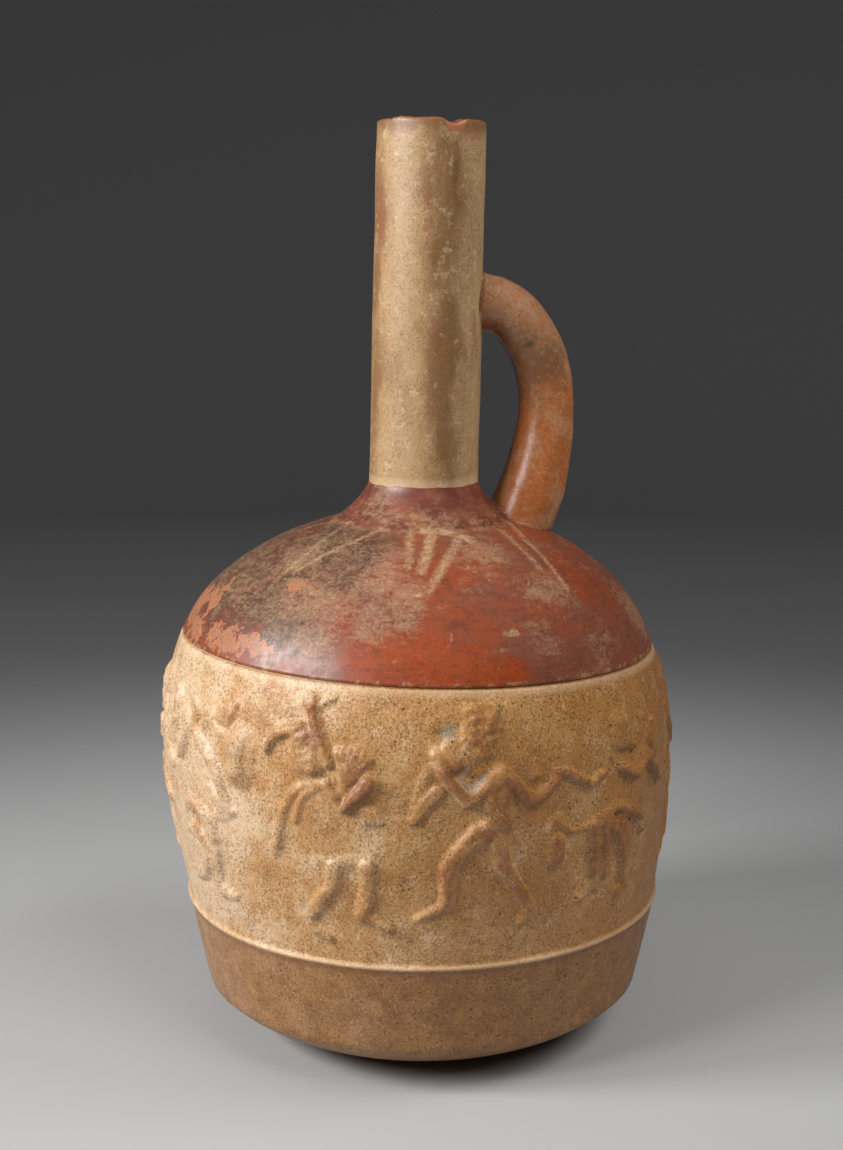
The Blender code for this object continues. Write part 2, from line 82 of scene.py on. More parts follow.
# Neck, spout and rim
SPOUT_RADIUS = 16.8
SPOUT_LENGTH = 107.6
SPOUT_LEAN = 2.7
NECK_SPREAD = 10.2
NECK_RISE = 12.0
NECK_FLARE_POWER = 1.45
RIM_TAPER = 0.5
RIM_ROUND = 0.8
RIM_TAPER_HEIGHT = 6.0
RIM_FALL = 0.5
RIM_WEAR = 0.45
RIM_WEAR_REACH = 3.0
LIP_CORNER = 0.3
RIM_WORN_LEFT = (-110.0, -102.0, -57.0, -52.0)  # degrees: it starts, is full, is full still, ends
CHIP_ANGLE = math.radians(16.0)
CHIP_RADIUS = 4.2
CHIP_DEPTH = 1.5

# Walls and handle
BODY_WALL = 5.0
FLOOR_THICKNESS = 6.0
SPOUT_WALL = 4.0
HANDLE_RADIUS = 8.5
HANDLE_GAP = 13.5
HANDLE_ABOVE_NECK = 54.2
HANDLE_FOOT_OUT = 2.9
HANDLE_FOOT_SWELL = 1.22
HANDLE_ROOT_SWELL = 1.08

# Moulded figures
GROUND_ABOVE_RIDGE = 11.0
HEADROOM = 10.0
FINE, LOW, MID, HIGH, TOP = 0.4, 1.0, 1.6, 2.2, 2.8  # how far a stroke stands out
RELIEF_EDGE = 1.2
RELIEF_ROUND = 0.7
RELIEF_FULLNESS = 0.45
RELIEF_HALO = 2.2
FRONT_ANGLES = (-56.0, -30.0, 2.0, 37.0)
BACK_FIGURES = 6
BACK_FLATNESS = 0.6
CURVE_STEPS = 4
FIGURE_REACH = 0.8

# Crumbled patches on the figures: (angle in degrees, level, half width, half height), and their grains
CRUMBLED = ((-34, 104, 7, 7), (-34, 117, 3, 3), (-44, 108, 4, 4), (4, 111, 7, 7), (-29, 88, 5, 5))
CRUMB_DEPTH, CRUMB_LENGTH = 0.7, 1.5
CRUMB_BORDER = 1.4

# Unevenness, as depths and the lengths they run over; the crests' depths are shares of their height, and the
# rim's are shares of its wear
CREST_WEAR = ((0.3, 5.0), (0.15, 1.8))
WALL_WEAR = ((0.35, 45.0), (0.12, 9.0))
HANDLE_WAVES = ((0.22, 14.0), (0.08, 4.0))
RIM_WAVES = ((0.8, 5.0), (0.5, 1.6))

SPOT_BORDER = 1.35
SPOUT_COLOUR_START = 3.0
NO_PAINT = -9.0

# Mesh fineness
FRIEZE_COLUMNS = 540
FRIEZE_ROW = 0.75
DOME_COLUMNS = 280
DOME_ROWS = 34
NECK_COLUMNS = 200
NECK_ROWS = 14
SPOUT_COLUMNS = 96
SPOUT_ROWS = 44
RIM_COLUMNS = 160
BAND_COLUMNS = 300
BAND_ROWS = 14
FOOT_COLUMNS = 180
FOOT_ROWS = 12
INSIDE_COLUMNS = 72
INSIDE_ROWS = 12
UNDERSIDE_RINGS = ((0.5, 48), (0.92, 90))
RIDGE_ROWS = 7
TAPER_ROWS = 9
LIP_ROWS = 4
INSIDE_FOOT_ROWS = 6
HANDLE_RING_STEPS = 9
HANDLE_LENGTH_STEPS = 14
WELD_GAP = 0.01
FRONT_REACH = math.radians(110.0)
BACK_DENSITY = 0.5
ANGLE_STEPS = 721

ridge_level = FOOT_HEIGHT + LOWER_BAND_HEIGHT
belly_level = ridge_level + BELLY_ABOVE_RIDGE
seam_level = belly_level + SEAM_ABOVE_BELLY
groove_bottom = seam_level - GROOVE_HEIGHT
foot_radius = BELLY_RADIUS - FOOT_INSET
base_radius = BELLY_RADIUS - BASE_INSET
dome_radius = BELLY_RADIUS - DOME_INSET
dome_centre = seam_level - DOME_START
dome_top = dome_centre + DOME_RISE
seam_radius = dome_radius * (1.0 - (DOME_START / DOME_RISE) ** 2) ** (1.0 / DOME_POWER)
groove_radius = seam_radius - SEAM_LEDGE
frieze_top_radius = groove_radius + FRIEZE_STEP
bore_radius = SPOUT_RADIUS - SPOUT_WALL
rim_radius = SPOUT_RADIUS - RIM_TAPER
neck_base_radius = SPOUT_RADIUS + NECK_SPREAD


def dome_height(radius):
    return dome_centre + DOME_RISE * math.sqrt(1.0 - (radius / dome_radius) ** DOME_POWER)


neck_base = dome_height(neck_base_radius)
neck_top = neck_base + NECK_RISE
rim_level = neck_top + SPOUT_LENGTH
figure_ground = ridge_level + GROUND_ABOVE_RIDGE
figure_height = seam_level - HEADROOM - figure_ground


# Outlines, each a list of (radius, level, columns)

def wall_radius(z):
    if z <= belly_level:
        share = (belly_level - z) / (belly_level - FOOT_HEIGHT)
        return BELLY_RADIUS - (BELLY_RADIUS - foot_radius) * share ** LOWER_WALL_POWER
    share = min(1.0, (z - belly_level) / (groove_bottom - belly_level))
    return BELLY_RADIUS - (BELLY_RADIUS - frieze_top_radius) * share ** UPPER_WALL_POWER


def neck_radius(share):
    """The neck's radius at a share of its height below the spout."""
    return SPOUT_RADIUS + NECK_SPREAD * share ** NECK_FLARE_POWER


def foot_curve(start, end, count):
    corner = (start[0] + FOOT_CORNER_OUT * (end[0] - start[0]),
              start[1] + FOOT_CORNER_UP * (end[1] - start[1]))
    points = []
    for t in np.linspace(0.0, 1.0, count):
        pull = 2.0 * t * (1.0 - t)
        points.append(tuple((1 - t) ** 2 * s + pull * c + t * t * e for s, c, e in zip(start, corner, end)))
    return points


def dome_arc(top_radius, low_level, inset, count):
    """The dome's outline from near the axis down to a level near the seam."""
    rise = DOME_RISE - inset
    radius = dome_radius - inset
    start = math.asin((top_radius / radius) ** (DOME_POWER / 2.0))
    end = math.acos((low_level - dome_centre) / rise)
    angles = np.linspace(start, end, count)
    return [(radius * math.sin(a) ** (2.0 / DOME_POWER), dome_centre + rise * math.cos(a)) for a in angles]


def outside_outline():
    """From the middle of the underside up the outside to the rim's outer edge."""
    rows = [(0.0, 0.0, 1)] + [(base_radius * share, 0.0, columns) for share, columns in UNDERSIDE_RINGS]
    foot = foot_curve((base_radius, 0.0), (foot_radius, FOOT_HEIGHT), FOOT_ROWS)
    rows += [(r, z, FOOT_COLUMNS) for r, z in foot]
    ridge_foot = ridge_level - RIDGE_HALF_WIDTH
    for z in np.linspace(FOOT_HEIGHT, ridge_foot, BAND_ROWS)[1:-1]:
        rows.append((wall_radius(z) + BAND_RISE * (z - FOOT_HEIGHT) / LOWER_BAND_HEIGHT, z, BAND_COLUMNS))
    for offset in np.linspace(-1.0, 1.0, RIDGE_ROWS):
        z = ridge_level + offset * RIDGE_HALF_WIDTH
        band = BAND_RISE if offset < 0.0 else 0.0
        crest = (RIDGE_RISE - band) * (1.0 - offset * offset) + band
        rows.append((wall_radius(z) + crest, z, FRIEZE_COLUMNS))
    first = ridge_level + RIDGE_HALF_WIDTH
    count = round((groove_bottom - first) / FRIEZE_ROW)
    rows += [(wall_radius(z), z, FRIEZE_COLUMNS) for z in np.linspace(first, groove_bottom, count)[1:]]
    lip = SEAM_ROUND / 2
    rows += [
        (frieze_top_radius - lip / 2, groove_bottom + lip, FRIEZE_COLUMNS),
        (frieze_top_radius - SEAM_ROUND, groove_bottom + SEAM_ROUND, FRIEZE_COLUMNS),
        (groove_radius, seam_level - lip, FRIEZE_COLUMNS),
        (seam_radius - lip / 2, seam_level - lip / 4, FRIEZE_COLUMNS),
        (seam_radius, seam_level + lip / 2, FRIEZE_COLUMNS),
    ]
    dome = dome_arc(neck_base_radius, seam_level + SEAM_ROUND, 0.0, DOME_ROWS)[::-1]
    rows += [(r, z, DOME_COLUMNS) for r, z in dome]
    for share in np.linspace(1.0, 0.0, NECK_ROWS)[1:]:
        rows.append((neck_radius(share), neck_top - NECK_RISE * share, NECK_COLUMNS))
    close = rim_level - RIM_TAPER_HEIGHT
    levels = [(z, SPOUT_COLUMNS) for z in np.linspace(neck_top, close, SPOUT_ROWS)[1:]]
    levels += [(z, RIM_COLUMNS) for z in np.linspace(close, rim_level - RIM_ROUND, TAPER_ROWS)[1:]]
    rows += [(SPOUT_RADIUS - RIM_TAPER * (z - neck_top) / SPOUT_LENGTH, z, columns) for z, columns in levels]
    for turn in np.radians((30.0, 60.0, 90.0)):
        inward = RIM_ROUND * (1.0 - math.cos(turn))
        rows.append((rim_radius - inward, rim_level - RIM_ROUND * (1.0 - math.sin(turn)), RIM_COLUMNS))
    return rows


def inside_outline():
    """From the rim's flat top down the bore and the empty room to the middle of the floor."""
    lip = np.linspace(rim_radius - RIM_ROUND, bore_radius + RIM_ROUND, LIP_ROWS)
    rows = [(r, rim_level, RIM_COLUMNS) for r in lip[1:]]
    corner = RIM_ROUND * LIP_CORNER
    rows.append((bore_radius + corner, rim_level - corner, RIM_COLUMNS))
    rows.append((bore_radius, rim_level - RIM_ROUND, RIM_COLUMNS))
    room = dome_arc(bore_radius, seam_level, BODY_WALL, INSIDE_ROWS)
    bore = np.linspace(rim_level - RIM_WEAR_REACH, room[0][1], INSIDE_ROWS)
    rows += [(bore_radius, z, INSIDE_COLUMNS) for z in bore[:-1]]
    rows += [(r, z, INSIDE_COLUMNS) for r, z in room]
    inner_foot = FOOT_HEIGHT + FLOOR_THICKNESS
    rows += [(wall_radius(z) - BODY_WALL, z, INSIDE_COLUMNS)
             for z in np.linspace(groove_bottom, inner_foot, INSIDE_ROWS)[:-1]]
    foot_end = (wall_radius(inner_foot) - BODY_WALL, inner_foot)
    foot = foot_curve((base_radius, FLOOR_THICKNESS), foot_end, INSIDE_FOOT_ROWS)
    rows += [(r, z, INSIDE_COLUMNS) for r, z in foot[::-1]]
    rows.append((0.0, FLOOR_THICKNESS, 1))
    return rows


# Strokes of the moulded figures

def smooth(path):
    """A soft curve through the given points, cut into equal steps from each point to the next."""
    points = np.array(path, float)
    if len(points) < 3:
        return points
    padded = np.concatenate([[2 * points[0] - points[1]], points, [2 * points[-1] - points[-2]]])
    made = []
    for before, start, end, after in zip(padded[:-3], padded[1:-2], padded[2:-1], padded[3:]):
        bend = 2 * before - 5 * start + 4 * end - after
        twist = 3 * start - before - 3 * end + after
        for t in np.arange(CURVE_STEPS) / CURVE_STEPS:
            made.append(0.5 * (2 * start + (end - before) * t + bend * t * t + twist * t ** 3))
    made.append(points[-1])
    return np.array(made)


def ridge(path, half_width, height, tip=None, swell=0.0):
    """A raised stroke on a soft curve through a path, in hundredths of the figure's height.

    Its half width runs on to the tip's, and may swell on the way.
    """
    points = smooth(path) / 100.0
    steps = np.hypot(*np.diff(points, axis=0).T)
    along = np.concatenate([[0.0], np.cumsum(steps)]) / max(float(steps.sum()), 1e-9)
    end = half_width if tip is None else tip
    widths = half_width + (end - half_width) * along + 4.0 * swell * along * (1.0 - along)
    return points, widths / 100.0, height


def mound(centre, half_width, half_height, height):
    """A raised oval: a short upright ridge whose ends are round."""
    x, y = centre
    reach = max(0.0, half_height - half_width)
    return ridge([(x, y - reach), (x, y + reach)], half_width, height)


def fan(base, radius, first, last, blades, half_width, height):
    """Blades that spread from one point, from the first to the last angle in degrees."""
    strokes = []
    for angle in np.radians(np.linspace(first, last, blades)):
        tip = (base[0] + radius * math.cos(angle), base[1] + radius * math.sin(angle))
        strokes.append(ridge([base, tip], half_width, height))
    return strokes


def loop(centre, radius, half_width, height):
    """A small raised ring."""
    turns = np.linspace(0.0, 2.0 * math.pi, 9)
    return ridge([(centre[0] + radius * math.cos(t), centre[1] + radius * math.sin(t)) for t in turns],
                 half_width, height)


def staff_bearer():
    """Strides left with a long slanting pole. A large head carries a crest of feathers and plumes."""
    head = [mound((15, 76.5), 10.5, 15.5, MID), mound((15, 76), 6.8, 11.5, TOP)]
    crest = fan((8, 89), 11, 78, 163, 6, 1.1, MID) + [
        ridge([(2, 85), (-5, 88), (-7, 92)], 2.4, LOW, tip=3.0),
        ridge([(-24, 94), (-21, 91), (-21, 87)], 3.9, LOW, tip=2.1),
        ridge([(-10, 91), (-12, 87)], 2.0, LOW),
    ]
    plumes = [
        ridge([(-31, 86), (-28, 82), (-30, 75), (-35, 66)], 2.6, MID, tip=1.8, swell=0.8),
        ridge([(-44, 96), (-42, 91), (-43, 82), (-44, 72)], 3.0, MID, tip=2.2, swell=1.0),
        ridge([(-68, 88), (-66, 81), (-61, 70), (-51, 62)], 4.0, LOW, tip=2.6, swell=0.8),
    ]
    arms = [
        ridge([(-19, 80), (-10, 74), (-3, 69), (1, 63), (4, 56), (8, 49)], 2.1, MID, swell=1.2),
        ridge([(-6, 57), (-2, 53), (2, 49)], 2.6, MID, tip=3.7),
        ridge([(-3, 44), (4, 45), (11, 49)], 2.2, LOW, tip=1.3),
    ]
    legs = [
        ridge([(-27, 44), (-17, 43), (-10, 38), (-7, 32)], 3.9, HIGH, tip=4.6),
        ridge([(-7, 30), (-7, 22), (-9, 14), (-9, 8), (-6, 5)], 4.4, MID),
        ridge([(-6, 4), (0, 4), (4, 5)], 3.2, LOW, tip=1.6),
        ridge([(-30, 30), (-20, 30), (-15, 25), (-16, 18), (-22, 10), (-30, 6)], 3.2, MID,
              tip=1.8, swell=1.6),
    ]
    fine = [ridge([(11, 84), (17, 85), (20, 82)], 1.8, FINE)]
    return head + crest + plumes + arms + legs, fine


def cape_bearer():
    """Walks right under a crested headdress, with a cape behind and a ribbed bundle held up in front."""
    hand = (14, 70)
    headdress = [
        mound((-6, 85), 9.6, 12.8, HIGH),
        mound((-6, 107.5), 4.4, 4.4, MID),
        ridge([(-4, 104), (0, 107), (5, 110)], 1.5, LOW),
        ridge([(-5, 105), (-3, 100), (0, 93), (3, 86), (5, 81)], 2.3, HIGH, tip=2.0),
        ridge([(-9, 95), (-18, 93), (-24, 89), (-27, 83)], 3.0, MID, tip=1.6),
    ]
    cape = [
        ridge([(1, 72), (-8, 69), (-16, 60), (-21, 49), (-23, 40), (-25, 35)], 1.3, LOW, tip=2.6),
        ridge([(3, 71), (-4, 67), (-9, 61), (-12, 52)], 1.4, LOW, swell=0.4),
        ridge([(-3, 64), (-2, 57), (1, 53)], 7.5, FINE, tip=5.0),
    ]
    bundle = fan(hand, 17.5, 54, 107, 6, 1.1, MID) + [
        ridge([(18, 82), (17, 77), (14, 70)], 8.2, LOW, tip=3.4),
    ]
    tassels = [ridge([(x, 61), (x + 2, 55)], 0.9, LOW) for x in (21, 24, 27)]
    arm = [
        ridge([(4, 71), (8, 66), (12, 61)], 2.0, MID),
        ridge([(13, 61), (17, 66), (22, 71), (24, 74)], 1.4, TOP, tip=4.0, swell=0.4),
    ]
    legs = [
        ridge([(-2, 33), (6, 33), (15, 36), (24, 36)], 2.4, FINE),
        ridge([(6, 31), (4, 22), (-2, 14), (-8, 6)], 4.0, MID, tip=2.8),
        ridge([(-10, 5), (-8, -1), (-3, -4), (0, -5)], 2.8, LOW, tip=1.9),
        ridge([(22, 33), (22, 25), (20, 14), (18, 9)], 4.0, MID, tip=3.0),
        ridge([(18, 7), (24, 6), (31, 2)], 2.6, LOW, tip=1.8),
    ]
    fine = [loop((-6, 107.5), 2.8, 1.1, FINE), loop((-9, 94), 2.8, 1.1, FINE),
            loop((-20, 93), 2.1, 1.1, FINE), ridge([(-13, 77), (3, 77)], 1.0, FINE)]
    return headdress + cape + bundle + tassels + arm + legs, fine


def mantled_figure():
    """Strides between a slanting staff and an outstretched arm, in a long mantle from the head down."""
    headdress = [
        ridge([(3, 100), (2, 94)], 10.0, MID),
        ridge([(-2, 106), (6, 107), (13, 106)], 4.0, LOW),
        ridge([(15, 105), (18, 99), (21, 91), (24, 83), (29, 76)], 5.8, LOW, tip=2.1, swell=1.0),
        ridge([(-6, 104), (-13, 103), (-20, 101)], 4.6, FINE, tip=3.4),
    ]
    arms = [
        ridge([(-12, 90), (-9, 85)], 4.4, MID, tip=5.6),
        ridge([(-18, 87), (-15, 81)], 3.0, MID),
        ridge([(-16, 81), (-10, 73), (-4, 66)], 2.5, HIGH),
        ridge([(-3, 66), (3, 71), (9, 77), (12, 80)], 2.9, MID),
        ridge([(12, 80), (18, 74), (24, 67), (29, 65), (35, 69), (40, 73)], 2.5, HIGH),
        ridge([(41, 77), (48, 74), (56, 70), (61, 67), (66, 70), (69, 71)], 2.3, MID, tip=1.6),
    ]
    staff = [
        ridge([(-21, 82), (-24, 75), (-27, 66), (-29, 61)], 1.6, FINE, swell=0.5),
        ridge([(-18, 70), (-24, 64), (-29, 57)], 3.0, LOW, tip=2.4),
    ]
    torso = [ridge([(11, 73), (10, 64), (11, 56)], 7.6, MID)]
    legs = [
        ridge([(8, 53), (-1, 48), (-10, 39), (-13, 34)], 6.1, MID, tip=3.6),
        ridge([(-14, 33), (-14, 25), (-15, 17)], 3.4, MID, tip=2.7),
        ridge([(-15, 14), (-21, 12), (-29, 8)], 2.7, LOW, tip=1.3),
        ridge([(12, 52), (11, 44), (12, 35)], 5.6, MID, tip=4.5),
        ridge([(12, 34), (18, 25), (24, 15), (26, 11)], 4.1, MID, tip=2.9),
        ridge([(26, 11), (25, 6), (21, 4)], 3.0, LOW, tip=1.8),
    ]
    fine = [
        ridge([(21, 108), (24, 99), (27, 90), (29, 82), (32, 75)], 0.9, FINE),
        ridge([(-20, 72), (-30, 61)], 0.8, FINE),
        ridge([(-16, 69), (-28, 56)], 0.8, FINE),
        ridge([(8, 106), (13, 103)], 0.8, FINE),
        loop((8, 100.5), 1.9, 1.1, FINE),
    ]
    return headdress + arms + staff + torso + legs, fine


def stooping_figure():
    """Bends over a belted skirt of hanging strips, with a pouch that trails behind."""
    headdress = [
        ridge([(5, 92), (4, 88)], 9.0, HIGH),
        ridge([(24, 101), (22, 92), (18, 85), (12, 81)], 2.6, MID),
    ]
    arms = [
        ridge([(3, 72), (12, 67), (19, 71), (25, 73), (32, 67), (40, 59)], 2.6, HIGH, tip=3.4, swell=0.5),
        ridge([(36, 87), (32, 80), (37, 72)], 3.4, MID),
        ridge([(14, 65), (16, 56), (15, 51)], 8.0, LOW),
    ]
    belt = [
        ridge([(-1, 52), (8, 49), (17, 44), (24, 38)], 1.6, HIGH, tip=3.0),
        ridge([(3, 49), (12, 43), (22, 35)], 1.4, MID, tip=1.9),
        ridge([(0, 50), (7, 42), (18, 35)], 1.5, LOW),
        ridge([(-1, 52), (-12, 49), (-20, 46)], 2.0, LOW),
    ]
    strips = [ridge([(top, 46), ((top + low) / 2 + 1, 33), (low, end)], 2.9, MID)
              for top, low, end in ((-18, -16, 15), (-11, -8, 19), (-6, 9, 9), (1, 11, 16))]
    strips.append(ridge([(12, 37), (14, 26), (15, 16)], 3.0, LOW))
    pouch = [
        mound((-40, 38), 5.2, 8.5, MID),
        ridge([(-44, 46), (-43, 52), (-39, 54), (-36, 49)], 1.4, LOW),
        ridge([(-41, 54), (-35, 48), (-29, 46), (-20, 47)], 1.2, LOW),
    ]
    feet = [
        ridge([(8, 16), (8, 9), (3, 6)], 3.3, LOW, tip=2.6),
        ridge([(-18, 16), (-21, 12), (-27, 9)], 2.5, LOW, tip=1.7),
    ]
    fine = [ridge([(1, 96), (2, 92)], 1.2, FINE), loop((-40, 36), 3.4, 0.9, FINE)]
    return headdress + arms + belt + strips + pouch + feet, fine


FIGURES = (staff_bearer, cape_bearer, mantled_figure, stooping_figure)


def figure_places():
    """Each figure's angle from the front, flatness and strokes: four in front, flatter ones behind."""
    places = [(angle, 1.0, make) for angle, make in zip(FRONT_ANGLES, FIGURES)]
    gap = 360.0 - (FRONT_ANGLES[-1] - FRONT_ANGLES[0])
    for number in range(1, BACK_FIGURES + 1):
        angle = FRONT_ANGLES[-1] + gap * number / (BACK_FIGURES + 1)
        places.append((angle, BACK_FLATNESS, FIGURES[(number + 1) % len(FIGURES)]))
    return [(math.radians(angle), flatness, *make()) for angle, flatness, make in places]


def stroke_lift(points, path, widths, rise, edge, spread=0.0):
    """The lift of one stroke at each point: a round crest with a soft edge, as wide as the stroke."""
    inside = np.zeros(len(points))
    for number, start in enumerate(path[:-1]):
        along = path[number + 1] - start
        length_squared = max(float(along @ along), 1e-12)
        share = np.clip((points - start) @ along / length_squared, 0.0, 1.0)
        gap = points - (start + share[:, None] * along)
        width = widths[number] + share * (widths[number + 1] - widths[number]) + spread
        slope = np.minimum(width, np.maximum(edge, RELIEF_ROUND * width))
        inside = np.maximum(inside, (width - np.hypot(gap[:, 0], gap[:, 1])) / slope)
    share = np.clip(inside, 0.0, 1.0)
    return rise * share * (2.0 - share)


def turn_from(middle, angle):
    """How far each angle is turned from a middle one, the short way round."""
    return (angle - middle + math.pi) % (2.0 * math.pi) - math.pi


def relief(angle, level):
    """The figures' lift at each point, and a wider halo that also covers the ground close round them."""
    lift = np.zeros(len(angle))
    halo = np.zeros(len(angle))
    edge = RELIEF_EDGE / figure_height
    spread = RELIEF_HALO / figure_height
    fullness = RELIEF_FULLNESS / figure_height
    for place, flatness, strokes, fine in figure_places():
        turn = turn_from(place, angle)
        near = np.flatnonzero(np.abs(turn) * BELLY_RADIUS < FIGURE_REACH * figure_height)
        points = np.stack([turn[near] * BELLY_RADIUS, level[near] - figure_ground], axis=1) / figure_height
        own = np.zeros(len(near))
        around = np.zeros(len(near))
        for path, widths, rise in strokes:
            own = np.maximum(own, stroke_lift(points, path, widths, rise * flatness, edge, fullness))
            around = np.maximum(around, stroke_lift(points, path, widths, 1.0, 2.0 * edge, spread))
        for path, widths, rise in fine:
            own += stroke_lift(points, path, widths, rise * flatness, edge) * (own > 0.0)
        lift[near] = np.maximum(lift[near], own)
        halo[near] = np.maximum(halo[near], around)
    return lift, halo


# Painted rays on the dome: (angle in degrees, level) along each, then its half width and how solid it is
SEEN_RAYS = (
    ([(-69, 160.4), (-63, 157.2), (-59.5, 153.5), (-59, 150), (-58.5, 144)], 0.8, 0.8),
    ([(-37, 159.8), (-44, 157.4), (-48, 155.4), (-51.5, 152.6), (-54.5, 149.5)], 0.95, 0.8),
    ([(-86, 160.2), (-92, 158.0), (-96, 156.4), (-102, 154.5)], 0.7, 0.6),
    ([(-18, 159.8), (-15.5, 156.4), (-14.5, 152.6)], 1.4, 0.5),
    ([(-3.5, 159.8), (-7.5, 155.8), (-9.8, 151.8)], 1.9, 0.75),
    ([(11, 158.6), (3, 155.6), (-3.5, 151.6), (-7, 147.6)], 1.7, 0.65),
    ([(-8, 160.0), (7, 159.4), (15, 158.0)], 2.2, 0.7),
    ([(64, 159.6), (46, 156.2), (42.3, 152.4), (39.3, 148.4), (38.5, 145)], 1.1, 0.9),
    ([(42, 159), (36.5, 154.8), (34.8, 149.6)], 1.2, 0.5),
    ([(54.5, 154.9), (55.5, 152.4)], 0.4, 0.8),
)


def hidden_rays():
    """Two rays at a time round the back, in the same hand."""
    rays = []
    for middle in (112, 158, 204):
        for lean in (-7, 7):
            path = [(middle + lean, 160), (middle + lean * 0.3, 154), (middle - lean * 0.2, 147)]
            rays.append((path, 0.8, 0.9))
    return rays


# Cream flecks and scratches on the dome, given the same way
FLECKS = (
    ([(-10.9, 146.4), (-10.6, 146.6)], 1.15, 1.3),
    ([(11.8, 137.2), (14.4, 136.9)], 1.35, 1.1),
    ([(9.4, 133.0), (11.8, 133.6)], 0.45, 1.0),
    ([(7.0, 153.1), (7.6, 151.9)], 0.4, 1.0),
    ([(-2.2, 137.8), (-2.3, 135.2), (-4.0, 133.2)], 0.28, 0.9),
    ([(2.0, 129.8), (0.6, 128.0)], 0.25, 0.9),
    ([(-14.0, 131.2), (-17.0, 129.2)], 0.22, 0.8),
    ([(16.5, 135.2), (17.2, 134.2)], 0.35, 0.9),
)

# Worn and coloured spots: (angle in degrees, level, half width, half height), in millimetres along the wall
DOME_SPOTS = {
    "dark": ((-92, 147, 20, 13), (-70, 143, 18, 13), (-55, 141, 13, 9), (-44, 136, 12, 7), (-60, 154, 22, 9),
             (-38, 152, 12, 8), (-110, 150, 20, 12)),
    "bare": ((-63, 129, 13, 4.5), (-52, 130, 9, 3.5), (-90, 133, 11, 7), (-79, 129, 9, 5), (-80, 139, 6, 5),
             (-50, 146, 4, 1.6), (-104, 134, 12, 9)),
    "pale": ((-46, 143, 18, 11), (-36, 142, 14, 11), (-36, 134, 12, 8), (-24, 150, 12, 10), (-60, 152, 16, 8),
             (-14, 144, 9, 11), (-22, 140, 10, 9), (31, 146, 15, 6), (17, 155, 12, 5), (68, 134, 14, 12),
             (-46, 127, 8, 4), (120, 140, 20, 9), (190, 148, 18, 8),
             (-52, 166, 9, 8), (-36, 163, 8, 5), (-12, 162.5, 9, 5), (6, 162, 8, 4), (30, 161, 6, 3),
             (-66, 172, 4, 3)),
    "bright": ((-18, 130, 13, 7), (-9, 131, 13, 8), (-1, 129.5, 12, 7), (9, 127, 9, 5)),
    "dull": ((-30, 130, 8, 6), (20, 130, 16, 9), (40, 128, 18, 10), (60, 130, 16, 12), (78, 134, 16, 12),
             (150, 130, 30, 10)),
}
SPOUT_SPOTS = {
    # The spout's shade spots are painted shade: upright brown bands and patches down it.
    "shade": ((4, 225, 7, 70), (-8, 262, 6, 12), (9, 190, 5, 18), (-82, 225, 6, 70), (12, 262, 4, 20)),
    "blotch": ((-11.5, 249, 2.4, 3.2), (-11, 256, 2, 3), (-37, 216, 1.5, 2.2), (-3, 219, 2.6, 6),
               (48, 219, 1.2, 8), (-70, 250, 3, 14), (40, 276, 9, 4), (-45, 276, 6, 4)),
    "stain": ((18, 270, 2.0, 7), (16, 262, 1.6, 8), (20, 255, 1.2, 4), (13, 196, 1.5, 3), (12, 199, 1.2, 2),
              (38, 241, 0.9, 1.2), (5, 272, 4, 3)),
}
FRIEZE_SPOTS = {
    "rubbed": ((-22, 94, 6, 7), (-20, 102, 5, 6), (-41, 108, 4, 4), (-31, 114, 5, 7), (-33, 52, 7, 4),
               (-19, 56, 6, 4), (11, 93, 12, 7), (20, 97, 9, 7), (27, 96, 12, 6), (-3, 99, 6, 7),
               (3, 112, 5, 5), (19.6, 77, 6, 8), (34, 75, 12, 10), (4, 87, 8, 5), (-44, 97, 2, 7),
               (9.8, 69, 6, 10), (-4, 70, 4, 9)),
    "greyed": ((1, 99, 4, 6), (-22, 83, 6, 4), (-3.5, 112, 2.5, 3), (-38, 62, 6, 5)),
}


def wall_place(angle, level):
    """A point on the dome or the neck, for measuring along the wall rather than by angle."""
    if level > neck_base:
        share = min(1.0, max(0.0, (neck_top - level) / NECK_RISE))
        radius = neck_radius(share)
    else:
        share = max(0.0, (level - dome_centre) / DOME_RISE)
        radius = dome_radius * (1.0 - share ** 2) ** (1.0 / DOME_POWER)
    turn = math.radians(angle)
    return np.array([radius * math.sin(turn), -radius * math.cos(turn), level])


def painted(places, strokes):
    """How deep each point lies in the painted strokes, in millimetres; below zero outside them."""
    depth = np.full(len(places), NO_PAINT)
    for path, half_width, solid in strokes:
        points = [wall_place(*point) for point in path]
        for start, end in zip(points[:-1], points[1:]):
            along = end - start
            share = np.clip((places - start) @ along / max(float(along @ along), 1e-9), 0.0, 1.0)
            gap = np.linalg.norm(places - (start + share[:, None] * along), axis=1)
            depth = np.maximum(depth, (half_width - gap) * solid)
    return depth


def spotted(across, level, spots, border=SPOT_BORDER):
    """1 in the middle of each soft spot and 0 outside all; across gives the points' distance to a middle."""
    value = np.zeros(len(level))
    for middle, height, half_width, half_height in spots:
        reach = np.hypot(across(middle) / half_width, (level - height) / half_height)
        value = np.maximum(value, np.clip(border - reach, 0.0, 1.0))
    return value


def wall_spots(radius, angle, level, spots, border=SPOT_BORDER):
    """Soft spots on the turned wall, measured along it."""
    return spotted(lambda middle: turn_from(math.radians(middle), angle) * radius, level, spots, border)


# The mesh

def column_angles(count):
    """Angles of a ring's points, closer together in front than behind."""
    fine = np.linspace(-math.pi, math.pi, ANGLE_STEPS)
    density = np.where(np.abs(fine) < FRONT_REACH, 1.0, BACK_DENSITY)
    total = np.concatenate([[0.0], np.cumsum((density[1:] + density[:-1]) / 2)])
    return np.interp(np.arange(count) / count, total / total[-1], fine)


